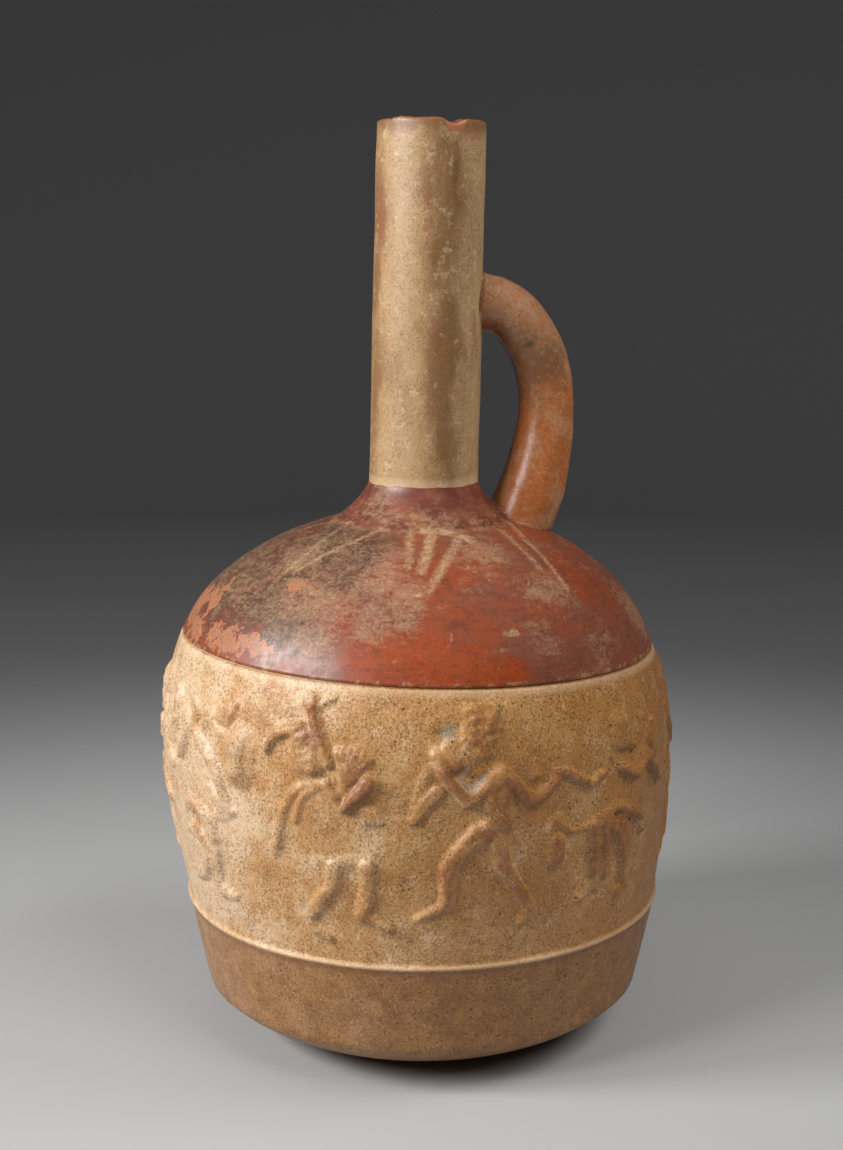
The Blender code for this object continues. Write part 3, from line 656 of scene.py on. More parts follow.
def join_rings(low, high):
    """Faces between two rings of points that may differ in number."""
    if len(low) == 1:
        return [(low[0], high[k + 1 - len(high)], high[k]) for k in range(len(high))]
    if len(high) == 1:
        return [(low[k], low[k + 1 - len(low)], high[0]) for k in range(len(low))]
    if len(low) == len(high):
        return [(low[k], low[k + 1 - len(low)], high[k + 1 - len(high)], high[k]) for k in range(len(low))]
    faces = []
    i = j = 0
    while i < len(low) or j < len(high):
        if j == len(high) or (i < len(low) and (i + 1) / len(low) <= (j + 1) / len(high)):
            faces.append((low[i], low[(i + 1) % len(low)], high[j % len(high)]))
            i += 1
        else:
            faces.append((low[i % len(low)], high[(j + 1) % len(high)], high[j]))
            j += 1
    return faces


def seam_drop(x, z):
    below = (z - ridge_level) / (seam_level - ridge_level)
    above = (dome_top - z) / (dome_top - seam_level)
    return -SEAM_FALL * x / seam_radius * np.clip(np.minimum(below, above), 0.0, 1.0)


def belly_shift(z):
    share = np.clip((z - ridge_level) / (dome_top - ridge_level), 0.0, 1.0)
    return -BELLY_SHIFT * np.sin(math.pi * share)


def crumbled(places, angle, level, lift):
    """How far the crumbled patches sink below the figures' first surface."""
    loose = wall_spots(BELLY_RADIUS, angle, level, CRUMBLED, CRUMB_BORDER)
    raised = np.clip(lift / LOW, 0.0, 1.0)
    grains = np.zeros(len(angle))
    near = loose > 0.0
    grains[near] = 0.5 + uneven(places[near], 1.0, CRUMB_LENGTH)
    return CRUMB_DEPTH * loose * raised * np.clip(grains, 0.0, 1.0)


def uneven(places, depth, length):
    """Soft lumps at each point, about as deep and as long as given."""
    return depth * np.array([noise.noise(Vector(place) / length) for place in places])


def rim_wear(angle, level):
    """How far the worn rim lies below its first height."""
    near = np.clip((level - rim_level + RIM_WEAR_REACH) / RIM_WEAR_REACH, 0.0, 1.0)
    places = np.stack([np.sin(angle), np.cos(angle), np.zeros(len(angle))], axis=1) * SPOUT_RADIUS
    worn = RIM_WEAR * sum((uneven(places, *wave) for wave in RIM_WAVES), 0.5)
    left = np.interp(np.degrees(angle), RIM_WORN_LEFT, (0.0, 1.0, 1.0, 0.0))
    return near * (np.clip(worn, 0.0, 1.0) + RIM_WEAR * left)


def body_points(rows):
    """Every point's angle, level and radius, and the numbers of each ring's points."""
    angles, levels, radii, rings = [], [], [], []
    start = 0
    for radius, level, columns in rows:
        angles.append(column_angles(columns) if columns > 1 else np.zeros(1))
        levels.append(np.full(columns, level))
        radii.append(np.full(columns, radius))
        rings.append(list(range(start, start + columns)))
        start += columns
    return np.concatenate(angles), np.concatenate(levels), np.concatenate(radii), rings


def chip_share(places):
    """1 in the middle of the rim's chip and 0 outside it."""
    middle = (rim_radius * math.sin(CHIP_ANGLE), -rim_radius * math.cos(CHIP_ANGLE), rim_level)
    return np.clip(1.0 - (np.linalg.norm(places - middle, axis=1) / CHIP_RADIUS) ** 2, 0.0, 1.0)


def settled(angle, level, reach, chip):
    """Each point's place once the rim is worn and chipped, the seam tilts and the belly and spout lean."""
    x = reach * np.sin(angle)
    y = -reach * np.cos(angle)
    z = level - rim_wear(angle, level) - CHIP_DEPTH * chip * (level > rim_level - CHIP_RADIUS)
    drop = seam_drop(x, level)
    x = x + belly_shift(level)
    lean = np.clip((level - neck_base) / (rim_level - neck_base), 0.0, None)
    z = z + drop - RIM_FALL * np.minimum(1.0, lean) * x / rim_radius
    return np.stack([x + SPOUT_LEAN * lean, y, z], axis=1)


def colour_fields(places, angle, level, radius, outer, frieze):
    """The painted strokes and each kind of spot, as values at every point."""
    dome = (outer > 0) & (level >= seam_level - SEAM_ROUND) & (level < neck_top)
    spout = (outer > 0) & (level >= neck_top - SPOUT_COLOUR_START)
    fields = {"paint": np.full(len(angle), NO_PAINT)}
    fields["paint"][dome] = painted(places[dome], (*SEEN_RAYS, *hidden_rays(), *FLECKS))
    for where, kinds in ((frieze, FRIEZE_SPOTS), (dome, DOME_SPOTS), (spout, SPOUT_SPOTS)):
        for name, spots in kinds.items():
            fields[name] = np.zeros(len(angle))
            fields[name][where] = wall_spots(radius[where], angle[where], level[where], spots)
    return fields


def turned_body():
    """The body, neck and spout as one closed mesh: its points, its faces and its attributes by name."""
    outside = outside_outline()
    angle, level, radius, rings = body_points(outside + inside_outline())
    outer = np.zeros(len(angle))
    outer[:rings[len(outside)][0]] = 1.0
    places = np.stack([radius * np.sin(angle), -radius * np.cos(angle), level], axis=1)

    frieze = (outer > 0) & (level > ridge_level + RIDGE_HALF_WIDTH) & (level < groove_bottom)
    lift = np.zeros(len(angle))
    halo = np.zeros(len(angle))
    lift[frieze], halo[frieze] = relief(angle[frieze], level[frieze])
    lift[frieze] *= 1.0 + sum(uneven(places[frieze], *wear) for wear in CREST_WEAR)
    lift[frieze] -= crumbled(places[frieze], angle[frieze], level[frieze], lift[frieze])
    lumps = sum(uneven(places, *wear) for wear in WALL_WEAR)
    reach = radius + outer * (lift + lumps * np.clip(level / FOOT_HEIGHT, 0.0, 1.0))
    reach[radius == 0.0] = 0.0
    chip = chip_share(places)

    fields = {"level": level, "lift": lift / TOP, "hollow": halo * (1.0 - np.minimum(1.0, lift / MID)),
              "outer": outer, "handle": np.zeros(len(angle)), "chip": chip,
              **colour_fields(places, angle, level, radius, outer, frieze)}
    faces = []
    for low, high in zip(rings[:-1], rings[1:]):
        faces += join_rings(low, high)
    return settled(angle, level, reach, chip) * MM, faces, fields


def handle_route():
    """The handle's centre line as (x, height, swell), from the spout over the arch down to the dome."""
    top = neck_top + HANDLE_ABOVE_NECK
    foot_x = neck_base_radius + HANDLE_FOOT_OUT
    foot = dome_height(foot_x)
    arch = top - foot
    reach = SPOUT_RADIUS + HANDLE_GAP + HANDLE_RADIUS
    lean_there = SPOUT_LEAN * (top - neck_base) / (rim_level - neck_base)
    root = SPOUT_RADIUS - SPOUT_WALL / 2 + lean_there
    half_swell = (1.0 + HANDLE_FOOT_SWELL) / 2
    route = [(root, top, HANDLE_ROOT_SWELL)]
    route += [(root + out * (reach - root), top - down * arch, 1.0) for out, down in HANDLE_UPPER_BEND]
    route += [(foot_x + out * (reach - foot_x), top - down * arch, swell)
              for (out, down), swell in zip(HANDLE_LOWER_BEND, (half_swell, HANDLE_FOOT_SWELL))]
    return route + [(foot_x, foot - BODY_WALL / 2, HANDLE_FOOT_SWELL)]


# The handle's bend: each point's share of the way out, and of the way down from its top
HANDLE_UPPER_BEND = ((0.37, 0.03), (0.71, 0.14), (0.94, 0.31), (1.0, 0.51))
HANDLE_LOWER_BEND = ((0.84, 0.69), (0.54, 0.85))

# Dents in the handle: x, y and height of the middle, reach and depth
HANDLE_DENTS = ((31.7, -7.5, 213.2, 3.0, 0.8), (42.8, -7.0, 199.4, 1.6, 0.6), (20.3, -8.0, 229.1, 1.4, 0.7),
                (43.3, -6.0, 166.4, 1.4, 0.5))

# Coloured spots on the handle: x and height of the middle, half width and half height
HANDLE_SPOTS = {
    "bright": ((35, 166, 5, 9), (40, 180, 5, 8), (30, 190, 4, 12), (46, 195, 3, 9), (30, 172, 4, 8),
               (36, 205, 5, 5)),
    "dark": ((30.6, 213.2, 1.9, 1.2), (42.8, 199.4, 0.7, 0.7), (20.3, 229.1, 0.7, 0.7)),
    # The shade spots are painted shade on the underside of the arch's bend.
    "shade": ((30, 206, 6, 13), (22, 214, 9, 5), (38, 208, 7, 8)),
}


def handle_tube():
    """The handle as a closed mesh of its own, uneven as a hand-rolled coil is."""
    curve = bpy.data.curves.new("handle", "CURVE")
    curve.dimensions = "3D"
    curve.bevel_depth = HANDLE_RADIUS * MM
    curve.bevel_resolution = HANDLE_RING_STEPS
    curve.resolution_u = HANDLE_LENGTH_STEPS
    curve.use_fill_caps = True
    line = curve.splines.new("BEZIER")
    route = handle_route()
    line.bezier_points.add(len(route) - 1)
    for point, (x, z, swell) in zip(line.bezier_points, route):
        point.co = (x * MM, 0.0, z * MM)
        point.radius = swell
        point.handle_left_type = "AUTO"
        point.handle_right_type = "AUTO"
    thing = bpy.data.objects.new("handle", curve)
    bpy.context.scene.collection.objects.link(thing)
    bpy.context.view_layer.update()
    mesh = bpy.data.meshes.new_from_object(thing.evaluated_get(bpy.context.evaluated_depsgraph_get()))
    bpy.data.objects.remove(thing)
    clean = bmesh.new()
    clean.from_mesh(mesh)
    bmesh.ops.remove_doubles(clean, verts=clean.verts, dist=WELD_GAP * MM)
    bmesh.ops.recalc_face_normals(clean, faces=clean.faces)
    clean.normal_update()
    for vert in clean.verts:
        place = vert.co / MM
        push = sum(depth * noise.noise(place / length) for depth, length in HANDLE_WAVES)
        for x, y, z, reach, depth in HANDLE_DENTS:
            near = max(0.0, 1.0 - ((place - Vector((x, y, z))).length / reach) ** 2)
            push -= depth * near * near
        vert.co += vert.normal * push * MM
    clean.to_mesh(mesh)
    clean.free()
    return mesh


def joined(body_places, body_faces, body_fields, handle):
    """Body and handle as one solid, with the attributes found again on its points."""
    mesh = bpy.data.meshes.new("clay_jug")
    mesh.from_pydata(body_places.tolist(), [], body_faces)
    jug = bpy.data.objects.new("clay_jug", mesh)
    tool = bpy.data.objects.new("handle", handle)
    for thing in (jug, tool):
        bpy.context.scene.collection.objects.link(thing)
    step = jug.modifiers.new("handle", "BOOLEAN")
    step.operation = "UNION"
    step.solver = "EXACT"
    step.object = tool
    bpy.context.view_layer.update()
    made = bpy.data.meshes.new_from_object(jug.evaluated_get(bpy.context.evaluated_depsgraph_get()))
    jug.modifiers.clear()
    bpy.data.objects.remove(tool)
    jug.data = made
    made.name = "clay_jug"

    handle_places = np.array([v.co for v in handle.vertices])
    out, up = handle_places[:, 0] / MM, handle_places[:, 2] / MM
    own = {"paint": np.full(len(up), NO_PAINT)}
    for name, spots in HANDLE_SPOTS.items():
        own[name] = spotted(lambda middle: out - middle, up, spots)
    nothing = np.zeros(len(up))
    sources = np.concatenate([body_places, handle_places])
    on_handle = np.zeros(len(sources))
    on_handle[len(body_places):] = 1.0
    tree = kdtree.KDTree(len(sources))
    for number, place in enumerate(sources):
        tree.insert(place, number)
    tree.balance()
    nearest = np.array([tree.find(v.co)[1] for v in made.vertices])
    heights = np.array([v.co.z for v in made.vertices]) / MM
    for name, value in body_fields.items():
        whole = np.concatenate([value, own.get(name, nothing)])[nearest]
        if name == "handle":
            whole = on_handle[nearest]
        if name == "outer":
            whole = np.maximum(whole, on_handle[nearest])
        if name == "level":
            whole = np.where(on_handle[nearest] > 0.5, heights, whole)
        layer = made.attributes.get(name) or made.attributes.new(name, "FLOAT", "POINT")
        layer.data.foreach_set("value", np.asarray(whole, np.float32))
    made.shade_smooth()
    return jug


# Materials

class Nodes:
    """Short ways to add and link shader nodes."""

    def __init__(self, material):
        material.use_nodes = True
        self.tree = material.node_tree
        self.shader = self.tree.nodes["Principled BSDF"]
        self.place = self.add("ShaderNodeTexCoord", "Object")
        self.across = self.add("ShaderNodeSeparateXYZ", "X", {"Vector": self.place})

    def add(self, kind, output, inputs=None, **settings):
        """The output of a new node whose inputs are given by name or number."""
        node = self.tree.nodes.new(kind)
        for name, value in settings.items():
            setattr(node, name, value)
        for name, value in (inputs or {}).items():
            self.put(node.inputs[name], value)
        return node.outputs[output]

    def put(self, socket, value):
        """Links an output to a socket, or sets the socket's own value."""
        if isinstance(value, bpy.types.NodeSocket):
            self.tree.links.new(value, socket)
        elif isinstance(value, tuple) and len(value) == 3:
            socket.default_value = (*value, 1.0) if socket.type == "RGBA" else value
        else:
            socket.default_value = value

    def field(self, name):
        return self.add("ShaderNodeAttribute", "Fac", attribute_name=name)

    def noise(self, length, detail, rough=0.55, stretch=(1.0, 1.0, 1.0), warp=0.0):
        """Noise between about 0 and 1 whose blotches are about a length in millimetres across."""
        scale = tuple(1.0 / (length * MM * s) for s in stretch)
        place = self.add("ShaderNodeMapping", "Vector", {"Vector": self.place, "Scale": scale})
        inputs = {"Vector": place, "Scale": 1.0, "Detail": detail, "Roughness": rough, "Distortion": warp}
        return self.add("ShaderNodeTexNoise", "Fac", inputs)

    def math(self, kind, *values):
        return self.add("ShaderNodeMath", "Value", dict(enumerate(values)), operation=kind)

    def plus(self, a, b):
        return self.math("ADD", a, b)

    def times(self, a, b):
        return self.math("MULTIPLY", a, b)

    def most(self, a, b):
        return self.math("MAXIMUM", a, b)

    def sway(self, noise_value, amount):
        """Noise brought to lie about zero and made as strong as the amount."""
        return self.times(self.math("SUBTRACT", noise_value, 0.5), amount)

    def ramp(self, value, low, high, bottom=0.0, top=1.0):
        inputs = {"Value": value, "From Min": low, "From Max": high, "To Min": bottom, "To Max": top}
        return self.add("ShaderNodeMapRange", "Result", inputs, interpolation_type="SMOOTHSTEP")

    def between(self, value, start, full, still_full, end):
        return self.times(self.ramp(value, start, full), self.ramp(value, end, still_full))

    def ragged(self, field, noise_value, amount, low, high):
        """A soft field whose border is torn by noise."""
        return self.ramp(self.plus(field, self.sway(noise_value, amount)), low, high)

    def mix(self, factor, a, b):
        return self.add("ShaderNodeMix", "Result", {"Factor": factor, "A": a, "B": b}, data_type="RGBA")

    def layers(self, colour, *rows):
        """A colour under layers, each given as where it lies, how strongly it covers and its own colour."""
        for where, strength, tone in rows:
            colour = self.mix(self.times(where, strength), colour, tone)
        return colour


SLIP = (0.51, 0.28, 0.108)
PALE_SLIP_AND_HIGHLIGHT = (0.68, 0.50, 0.325)
SLIP_OCHRE = (0.39, 0.175, 0.048)
BAND_AND_SHADE_BROWN = (0.20, 0.078, 0.018)
BAND_GOLD = (0.29, 0.122, 0.030)
SPECK_AND_SHADE_BROWN = (0.16, 0.075, 0.028)
SPECK_BLACK = (0.02, 0.014, 0.01)
RAW_CLAY = (0.255, 0.088, 0.032)
BARE_ORANGE = (0.40, 0.15, 0.07)
RED = (0.25, 0.052, 0.018)
RED_BRIGHT = (0.30, 0.05, 0.010)
RED_DULL = (0.20, 0.062, 0.034)
MAROON = (0.125, 0.032, 0.02)
DARK = (0.06, 0.036, 0.022)
WORN_TAN = (0.33, 0.20, 0.11)
WORN_CLAY = (0.44, 0.24, 0.12)
WORN_PINK = (0.30, 0.15, 0.09)
CREAM = (0.46, 0.31, 0.17)
SPOUT_CREAM = (0.43, 0.275, 0.135)
SPOUT_BROWN_AND_SHADE = (0.24, 0.125, 0.052)
BLOTCH_RED = (0.28, 0.105, 0.05)
HANDLE_TAN = (0.46, 0.215, 0.10)
HANDLE_ORANGE = (0.42, 0.125, 0.036)
HANDLE_GREY = (0.34, 0.19, 0.105)
HANDLE_ARCH_SHADE = (0.13, 0.055, 0.026)
HANDLE_GREY_LEVELS = (190.0, 212.0)
INSIDE_CLAY = (0.16, 0.07, 0.035)
GREY = (0.40, 0.315, 0.225)


def frieze_colour(n, specks, grain):
    """Tan slip, paler at the lit left and browner at the shaded right, partly painted light, rubbed to red
    clay on the crests.
    """
    # aside runs from 0 at the left, which faces the key light, to 1 at the right. The slip grows paler
    # towards the left and ochre to brown, with more black specks, towards the right. This is partly its own
    # tone and partly painted light: a painted sheen on the lit side and painted shade on the far side.
    aside = n.math("MULTIPLY_ADD", n.across, 1.0 / (2.0 * BELLY_RADIUS * MM), 0.5)
    gritty = n.sway(grain, 0.30)
    cloud = n.plus(n.noise(20.0, 5.0, 0.62), gritty)
    patch = n.plus(n.noise(5.0, 5.0, 0.70), gritty)
    torn = n.noise(2.2, 6.0, 0.75)
    hollow = n.field("hollow")
    grey = n.times(n.field("greyed"), n.ramp(hollow, 0.25, 0.7))
    band = n.ramp(n.field("level"), ridge_level + 1.0, ridge_level - 2.0)
    toast = n.mix(n.ramp(patch, 0.34, 0.66), BAND_GOLD, BAND_AND_SHADE_BROWN)
    black = n.plus(n.noise(0.9, 3.0, 0.6), n.math("MULTIPLY_ADD", band, 0.02, n.times(aside, 0.06)))
    return n.layers(
        SLIP,
        (n.ramp(n.plus(cloud, n.times(aside, 0.42)), 0.52, 0.88), 1.0, SLIP_OCHRE),
        (n.ramp(n.plus(cloud, n.times(aside, 0.75)), 0.76, 0.44), 0.80, PALE_SLIP_AND_HIGHLIGHT),
        (n.ramp(patch, 0.50, 0.66), 0.38, SLIP_OCHRE),
        (n.ramp(patch, 0.44, 0.32), 0.28, PALE_SLIP_AND_HIGHLIGHT),
        (n.ragged(n.ramp(hollow, 0.66, 0.92), torn, 2.0, 0.55, 1.10), 0.26, PALE_SLIP_AND_HIGHLIGHT),
        (n.ragged(grey, torn, 1.0, 0.2, 0.6), 0.8, GREY),
        (n.ragged(n.field("lift"), torn, 1.8, 0.20, 0.66), n.ramp(n.field("rubbed"), 0.0, 0.6, 0.20, 0.80),
         RAW_CLAY),
        (n.ragged(n.ramp(cloud, 0.52, 0.68), torn, 3.0, 0.85, 1.4), 0.40, RAW_CLAY),
        (band, 0.80, toast),
        # Painted shade: the far right browner.
        (n.ramp(aside, 0.70, 1.0), 0.45, BAND_AND_SHADE_BROWN),
        # Painted glints: pale where the grain noise is lowest, as sparkle on the slip.
        (n.ramp(grain, 0.42, 0.34), 0.25, PALE_SLIP_AND_HIGHLIGHT),
        (specks, 0.62, SPECK_AND_SHADE_BROWN),
        (n.ramp(black, 0.66, 0.71), 0.85, SPECK_BLACK),
    )


def edged(n, frieze, level, height):
    """The frieze's lines in painted light and shade: pale on the ridge and the lip, darker under the ridge
    and in the groove.
    """
    # Painted shade under the ridge, in the red of worn clay: partly wear, partly shade.
    under = n.times(n.ramp(height, ridge_level - 4.0, ridge_level - 1.2),
                    n.ramp(level, ridge_level - 0.9, ridge_level - 1.3))
    # Painted highlight on the ridge's crest.
    ridge_highlight = n.between(level, ridge_level - 0.9, ridge_level - 0.1, ridge_level + 0.4, ridge_level + 1.2)
    # The pale lip at the frieze's top: partly worn paler, partly a painted highlight.
    lip = n.between(level, groove_bottom - 1.8, groove_bottom - 0.2, groove_bottom + 0.6, groove_bottom + 0.9)
    # Painted shade in the groove under the dome's edge.
    groove = n.ramp(level, groove_bottom + 0.6, groove_bottom + 0.9)
    return n.layers(frieze, (under, 0.4, RAW_CLAY), (ridge_highlight, 0.35, PALE_SLIP_AND_HIGHLIGHT), (lip, 0.30, PALE_SLIP_AND_HIGHLIGHT),
                    (groove, 0.4, SPECK_AND_SHADE_BROWN))


def dome_colour(n, specks):
    """Red slip, bright low in front, dark and flaked to bare clay at the left, with painted cream rays."""
    flakes = n.noise(6.0, 7.0, 0.65, warp=0.6)
    streaks = n.noise(1.7, 6.0, 0.7, stretch=(2.6, 2.6, 0.8))
    fine = n.noise(1.0, 6.0, 0.72)
    bright = n.field("bright")
    dark = n.ragged(n.field("dark"), flakes, 1.9, -0.06, 0.95)
    clouds = n.ramp(n.noise(15.0, 4.0, 0.6), 0.42, 0.68, 0.30, 0.70)
    worn = n.most(n.times(n.field("pale"), 0.92), n.times(dark, 0.76))
    worn = n.most(worn, n.times(clouds, n.ramp(bright, 0.0, 1.0, 1.0, 0.6)))
    tan = n.mix(n.ramp(n.noise(5.0, 3.0), 0.4, 0.6), WORN_TAN, WORN_PINK)
    bare = n.ragged(n.field("bare"), n.noise(4.0, 7.0, 0.72, warp=0.5), 3.6, 0.52, 0.60)
    bare_tone = n.mix(n.ramp(n.noise(2.2, 6.0, 0.7), 0.48, 0.60), BARE_ORANGE, WORN_PINK)
    bare_tone = n.mix(n.ramp(n.noise(1.3, 6.0, 0.75, warp=0.5), 0.60, 0.63), bare_tone, DARK)
    low_edge = n.ramp(n.field("level"), seam_level + 3.2, seam_level + 0.6)
    return n.layers(
        RED,
        (n.ramp(n.noise(14.0, 4.0), 0.4, 0.65), 1.0, RED_DULL),
        (n.ragged(n.field("dull"), flakes, 1.6, 0.2, 0.9), 1.0, RED_DULL),
        (n.ragged(bright, flakes, 1.6, 0.15, 0.75), 1.0, RED_BRIGHT),
        (n.ramp(streaks, 0.50, 0.34), 0.6, MAROON),
        (dark, 0.90, DARK),
        (n.ragged(worn, streaks, 2.4, 0.50, 1.20), 0.62, tan),
        (n.ragged(worn, fine, 3.4, 0.58, 1.20), 0.62, tan),
        (n.ragged(worn, fine, 3.6, 1.05, 1.45), 0.40, CREAM),
        (bare, 1.0, bare_tone),
        (painted_on(n), 1.0, CREAM),
        (n.ragged(low_edge, n.noise(3.2, 6.0, 0.75), 3.0, 1.00, 1.30), 0.6, WORN_CLAY),
        (specks, 0.35, DARK),
    )


def painted_on(n):
    """How much of the cream paint is left, with its edges worn thin."""
    paint = n.ragged(n.field("paint"), n.noise(1.4, 5.0, 0.72), 2.8, -0.35, 0.85)
    return n.times(paint, n.ramp(n.noise(2.0, 5.0, 0.75), 0.40, 0.60, 0.25, 0.75))


def neck_colour(n):
    """Dark maroon with fine tan wear, mostly low down."""
    low = n.ramp(n.field("level"), neck_top - 2.0, neck_base, 0.40, 0.62)
    worn = n.most(n.times(n.field("pale"), 0.85), low)
    streaks = n.noise(1.2, 6.0, 0.76, stretch=(1.7, 1.7, 0.9))
    return n.layers(
        MAROON,
        (n.ramp(n.noise(8.0, 4.0), 0.4, 0.65), 1.0, RED_DULL),
        (n.ragged(worn, streaks, 3.0, 0.50, 1.25), 0.72, WORN_TAN),
        (painted_on(n), 1.0, CREAM),
    )


def spout_colour(n, specks, height):
    """Cream slip, browner in upright clouds and in bands of painted shade, with stains and a rim worn to the
    clay.
    """
    clouds = n.noise(9.0, 5.0, 0.6, stretch=(1.0, 1.0, 2.4))
    patch = n.noise(3.0, 5.0, 0.65)
    fleck = n.noise(1.1, 5.0, 0.7)
    level = n.field("level")
    near_rim = n.ramp(level, rim_level - 7.0, rim_level - 0.5)
    rim = n.ramp(level, rim_level - 1.7, rim_level - 0.3)
    return n.layers(
        SPOUT_CREAM,
        # Brown in upright clouds, and more in the shade spots, which are painted shade.
        (n.ramp(n.plus(n.times(n.field("shade"), 0.34), clouds), 0.50, 0.90), 1.0, SPOUT_BROWN_AND_SHADE),
        (n.ramp(patch, 0.54, 0.74), 0.35, SLIP_OCHRE),
        (n.ramp(patch, 0.46, 0.32), 0.40, PALE_SLIP_AND_HIGHLIGHT),
        (specks, 0.50, SPECK_AND_SHADE_BROWN),
        (n.ragged(n.field("blotch"), fleck, 2.4, 0.35, 1.1), 0.65, BLOTCH_RED),
        (n.ragged(n.field("stain"), fleck, 2.4, 0.45, 1.3), 0.7, SPECK_AND_SHADE_BROWN),
        (n.ramp(height, neck_top + 3.0, neck_top + 1.2), 0.25, PALE_SLIP_AND_HIGHLIGHT),
        (n.ragged(near_rim, n.noise(3.0, 5.0, 0.65), 1.4, 0.2, 1.0), 0.65, SPECK_AND_SHADE_BROWN),
        (n.ragged(rim, n.noise(2.2, 5.0, 0.65), 1.8, 0.40, 0.60), 0.9, RAW_CLAY),
        (n.ramp(n.field("chip"), 0.15, 0.35), 1.0, BARE_ORANGE),
    )


def handle_colour(n, specks):
    """Terracotta, greyer at the top and orange where the slip has gone, with painted shade under the arch's
    bend.
    """
    level = n.field("level")
    speckle = n.noise(1.6, 6.0, 0.7)
    grit = n.noise(1.4, 6.0, 0.7)
    top = n.ramp(level, *HANDLE_GREY_LEVELS)
    foot = n.ramp(level, neck_base - 1.0, neck_base - 6.0)
    return n.layers(
        HANDLE_TAN,
        (n.ramp(n.noise(11.0, 5.0, 0.6), 0.42, 0.60), 1.0, HANDLE_ORANGE),
        (n.ragged(n.field("bright"), n.noise(3.5, 5.0, 0.65), 1.8, 0.2, 0.9), 1.0, HANDLE_ORANGE),
        (n.ragged(top, speckle, 3.4, 0.2, 1.3), 0.85, HANDLE_GREY),
        # Painted shade under the arch's bend.
        (n.ragged(n.field("shade"), speckle, 1.6, 0.1, 1.0), 0.70, HANDLE_ARCH_SHADE),
        (n.ramp(grit, 0.51, 0.64), 0.55, RAW_CLAY),
        (n.ramp(grit, 0.46, 0.34), 0.45, CREAM),
        (n.ragged(n.field("dark"), n.noise(2.2, 5.0, 0.65), 1.6, 0.2, 1.0), 0.8, DARK),
        (specks, 0.45, SPECK_AND_SHADE_BROWN),
        (n.ragged(foot, n.noise(2.5, 5.0, 0.65), 1.8, 0.4, 0.7), 1.0, RED),
    )


def jug_colour(n, level, grain):
    """Each region's colour in turn, from the frieze up to the spout, then the handle and the inside."""
    height = n.plus(level, n.sway(n.noise(9.0, 4.0), 2.0))
    specks = n.ramp(n.plus(grain, n.sway(n.noise(7.0, 3.0, 0.6), 0.30)), 0.49, 0.63)
    ring = n.between(level, neck_base - 1.0, neck_base - 0.2, neck_base + 0.2, neck_base + 1.0)
    return n.layers(
        edged(n, frieze_colour(n, specks, grain), level, height),
        (n.ramp(level, seam_level - 0.4, seam_level - 0.1), 1.0, dome_colour(n, specks)),
        (n.ramp(level, neck_base - 0.4, neck_base + 0.4), 1.0, neck_colour(n)),
        (n.ragged(ring, n.noise(3.0, 5.0, 0.7), 3.0, 0.70, 1.3), 0.40, WORN_TAN),
        (n.ramp(height, neck_top - 0.5, neck_top - 0.2), 1.0, spout_colour(n, specks, height)),
        (n.field("handle"), 1.0, handle_colour(n, specks)),
        (n.ramp(n.field("outer"), 0.9, 0.1), 1.0, INSIDE_CLAY),
    )


def clay():
    """The jug's material: its colour, a gloss that is stronger on the burnished dome, and a fine grain."""
    material = bpy.data.materials.new("worn_slip_clay")
    n = Nodes(material)
    level = n.field("level")
    grain = n.noise(0.68, 3.0, 0.70)
    n.put(n.shader.inputs["Base Color"], jug_colour(n, level, grain))

    on_dome = n.times(n.ramp(level, seam_level - 0.6, seam_level), n.field("outer"))
    plain = n.math("SUBTRACT", 1.0, on_dome)
    uneven_gloss = n.noise(3.5, 4.0)
    rough = n.ramp(uneven_gloss, 0.3, 0.7, 0.36, 0.52)
    burnished = n.ramp(uneven_gloss, 0.3, 0.7, 0.36, 0.48)
    gloss = n.plus(n.times(rough, plain), n.times(burnished, on_dome))
    n.put(n.shader.inputs["Roughness"], n.math("MULTIPLY_ADD", n.field("handle"), -0.10, gloss))

    relief_height = n.plus(n.times(grain, 0.13), n.times(n.noise(2.4, 4.0, 0.6), 0.22))
    soft = n.plus(n.times(plain, 0.75), 0.25)
    bump = {"Height": n.times(relief_height, soft), "Strength": 1.0, "Distance": MM}
    n.put(n.shader.inputs["Normal"], n.add("ShaderNodeBump", "Normal", bump))
    return material


def floor_material():
    """Pale grey paper round the jug, turning grey towards the wall in painted shade."""
    material = bpy.data.materials.new("floor_painted_shade")
    n = Nodes(material)
    reach = n.add("ShaderNodeVectorMath", "Value", {0: n.place}, operation="LENGTH")
    far = n.math("POWER", n.math("DIVIDE", reach, PAINTED_SHADE_REACH), PAINTED_SHADE_POWER)
    near = (PALE_REACH / PAINTED_SHADE_REACH) ** PAINTED_SHADE_POWER
    n.put(n.shader.inputs["Base Color"], n.mix(n.ramp(far, near, 1.0), FLOOR_PALE, FLOOR_PAINTED_SHADE))
    n.put(n.shader.inputs["Roughness"], FLOOR_ROUGHNESS)
    return material


# Studio

FOCAL_PIXELS = 1737.0
PICTURE_HEIGHT = 1150.0
SENSOR = 36.0
CAMERA_DISTANCE = 0.5327
CAMERA_HEIGHT = 0.2430
CAMERA_AZIMUTH = math.radians(-10.0)
CAMERA_PITCH = math.radians(10.77)
CAMERA_ASIDE = -0.0004
NEAREST_SEEN = 0.01
SWEEP_FLAT = 1.1
SWEEP_CURVE = 0.7
SWEEP_HEIGHT = 2.2
SWEEP_SIDES = 96
SWEEP_STEPS = 13
FLOOR_PALE = (0.385, 0.385, 0.381)
# The floor's painted shade: it greys to this far from the jug, where less light would fall.
FLOOR_PAINTED_SHADE = (0.095, 0.095, 0.098)
PALE_REACH = 0.10
PAINTED_SHADE_REACH = 0.58
PAINTED_SHADE_POWER = 0.6
FLOOR_ROUGHNESS = 0.85
WORLD_GREY = (0.22, 0.22, 0.225)

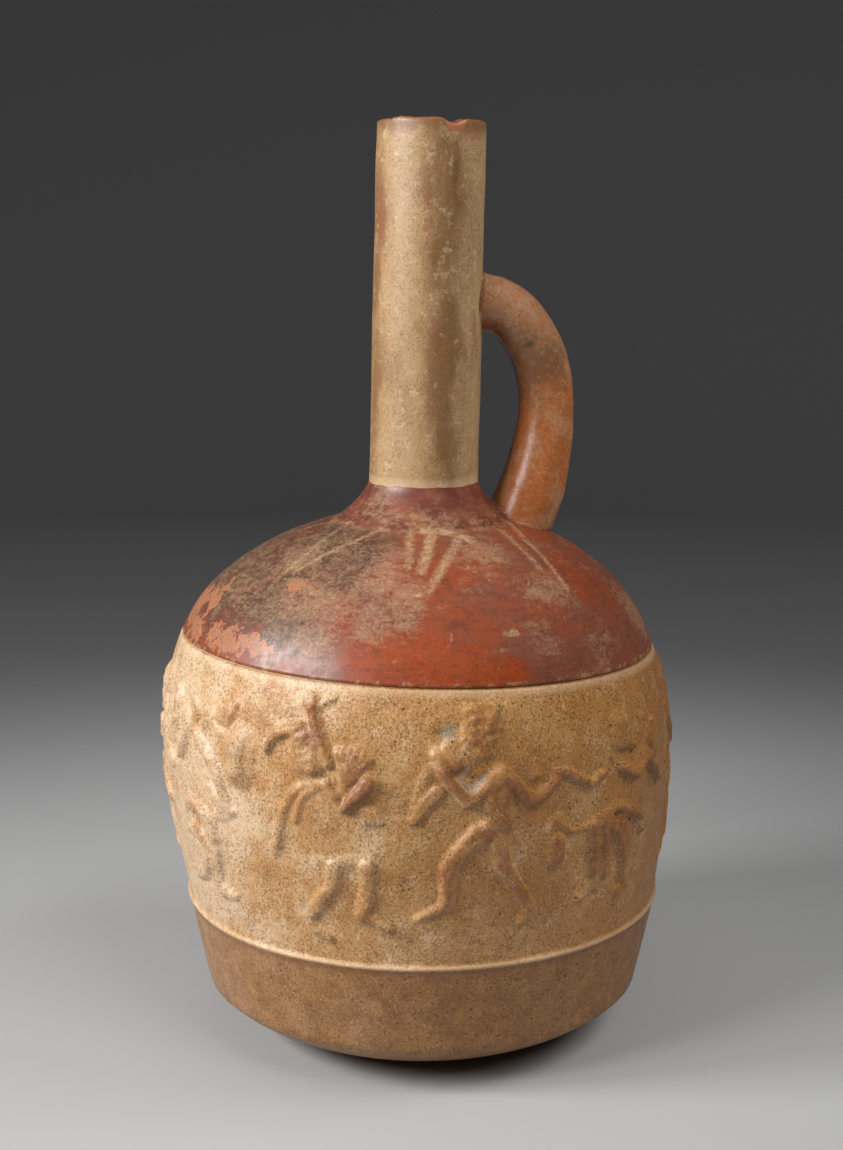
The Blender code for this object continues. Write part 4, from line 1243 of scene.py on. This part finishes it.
# Lights: name, place, power, size and whether the clay mirrors it; all shine at one point
LIGHTS = (("key", (-0.84, -0.12, 0.58), 8.5, 0.26, True), ("side", (-0.72, -0.42, 0.56), 4.9, 0.26, True),
          ("front", (0.42, -0.78, 1.00), 5.4, 0.60, False), ("fill", (0.76, -0.26, 0.92), 5.8, 0.50, False))
LIGHT_TARGET = (0.0, 0.0, 0.12)


def add_camera():
    data = bpy.data.cameras.new("camera")
    data.sensor_width = SENSOR
    data.lens = FOCAL_PIXELS / PICTURE_HEIGHT * SENSOR
    data.clip_start = NEAREST_SEEN
    camera = bpy.data.objects.new("camera", data)
    aside = Vector((math.cos(CAMERA_AZIMUTH), math.sin(CAMERA_AZIMUTH), 0.0)) * CAMERA_ASIDE
    camera.location = Vector((math.sin(CAMERA_AZIMUTH) * CAMERA_DISTANCE,
                              -math.cos(CAMERA_AZIMUTH) * CAMERA_DISTANCE, CAMERA_HEIGHT)) + aside
    camera.rotation_euler = Euler((math.pi / 2 - CAMERA_PITCH, 0.0, CAMERA_AZIMUTH), "XYZ")
    bpy.context.scene.collection.objects.link(camera)
    bpy.context.scene.camera = camera


def add_light(name, place, power, size, mirrored):
    data = bpy.data.lights.new(name, "AREA")
    data.energy = power
    data.size = size
    light = bpy.data.objects.new(name, data)
    light.location = place
    light.rotation_euler = (Vector(LIGHT_TARGET) - Vector(place)).to_track_quat("-Z", "Y").to_euler()
    light.visible_camera = False
    light.visible_glossy = mirrored
    bpy.context.scene.collection.objects.link(light)


def sweep_outline():
    """The floor's outline from the middle out: flat, then curving up into a wall all round."""
    points = [(0.0, 0.0), (SWEEP_FLAT, 0.0)]
    for turn in np.linspace(0.0, math.pi / 2, SWEEP_STEPS)[1:]:
        points.append((SWEEP_FLAT + SWEEP_CURVE * math.sin(turn), SWEEP_CURVE * (1.0 - math.cos(turn))))
    points.append((SWEEP_FLAT + SWEEP_CURVE, SWEEP_HEIGHT))
    return points


def add_studio():
    outline = sweep_outline()
    turns = np.linspace(0.0, 2.0 * math.pi, SWEEP_SIDES, endpoint=False)
    points = [(0.0, 0.0, 0.0)]
    points += [(r * math.cos(t), r * math.sin(t), z) for r, z in outline[1:] for t in turns]
    rings = [[0]] + [list(range(start, start + SWEEP_SIDES)) for start in range(1, len(points), SWEEP_SIDES)]
    faces = []
    for low, high in zip(rings[:-1], rings[1:]):
        faces += join_rings(low, high)
    mesh = bpy.data.meshes.new("floor")
    mesh.from_pydata(points, [], faces)
    mesh.shade_smooth()
    mesh.materials.append(floor_material())
    floor = bpy.data.objects.new("floor", mesh)
    bpy.context.scene.collection.objects.link(floor)
    world = bpy.data.worlds.new("studio")
    world.use_nodes = True
    world.node_tree.nodes["Background"].inputs["Color"].default_value = (*WORLD_GREY, 1.0)
    bpy.context.scene.world = world
    bpy.context.scene.view_settings.view_transform = "Standard"
    for light in LIGHTS:
        add_light(*light)


def main():
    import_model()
    add_camera()
    add_studio()
    jug = joined(*turned_body(), handle_tube())
    jug.data.materials.append(clay())
    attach(jug, "root")
    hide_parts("jug")


main()
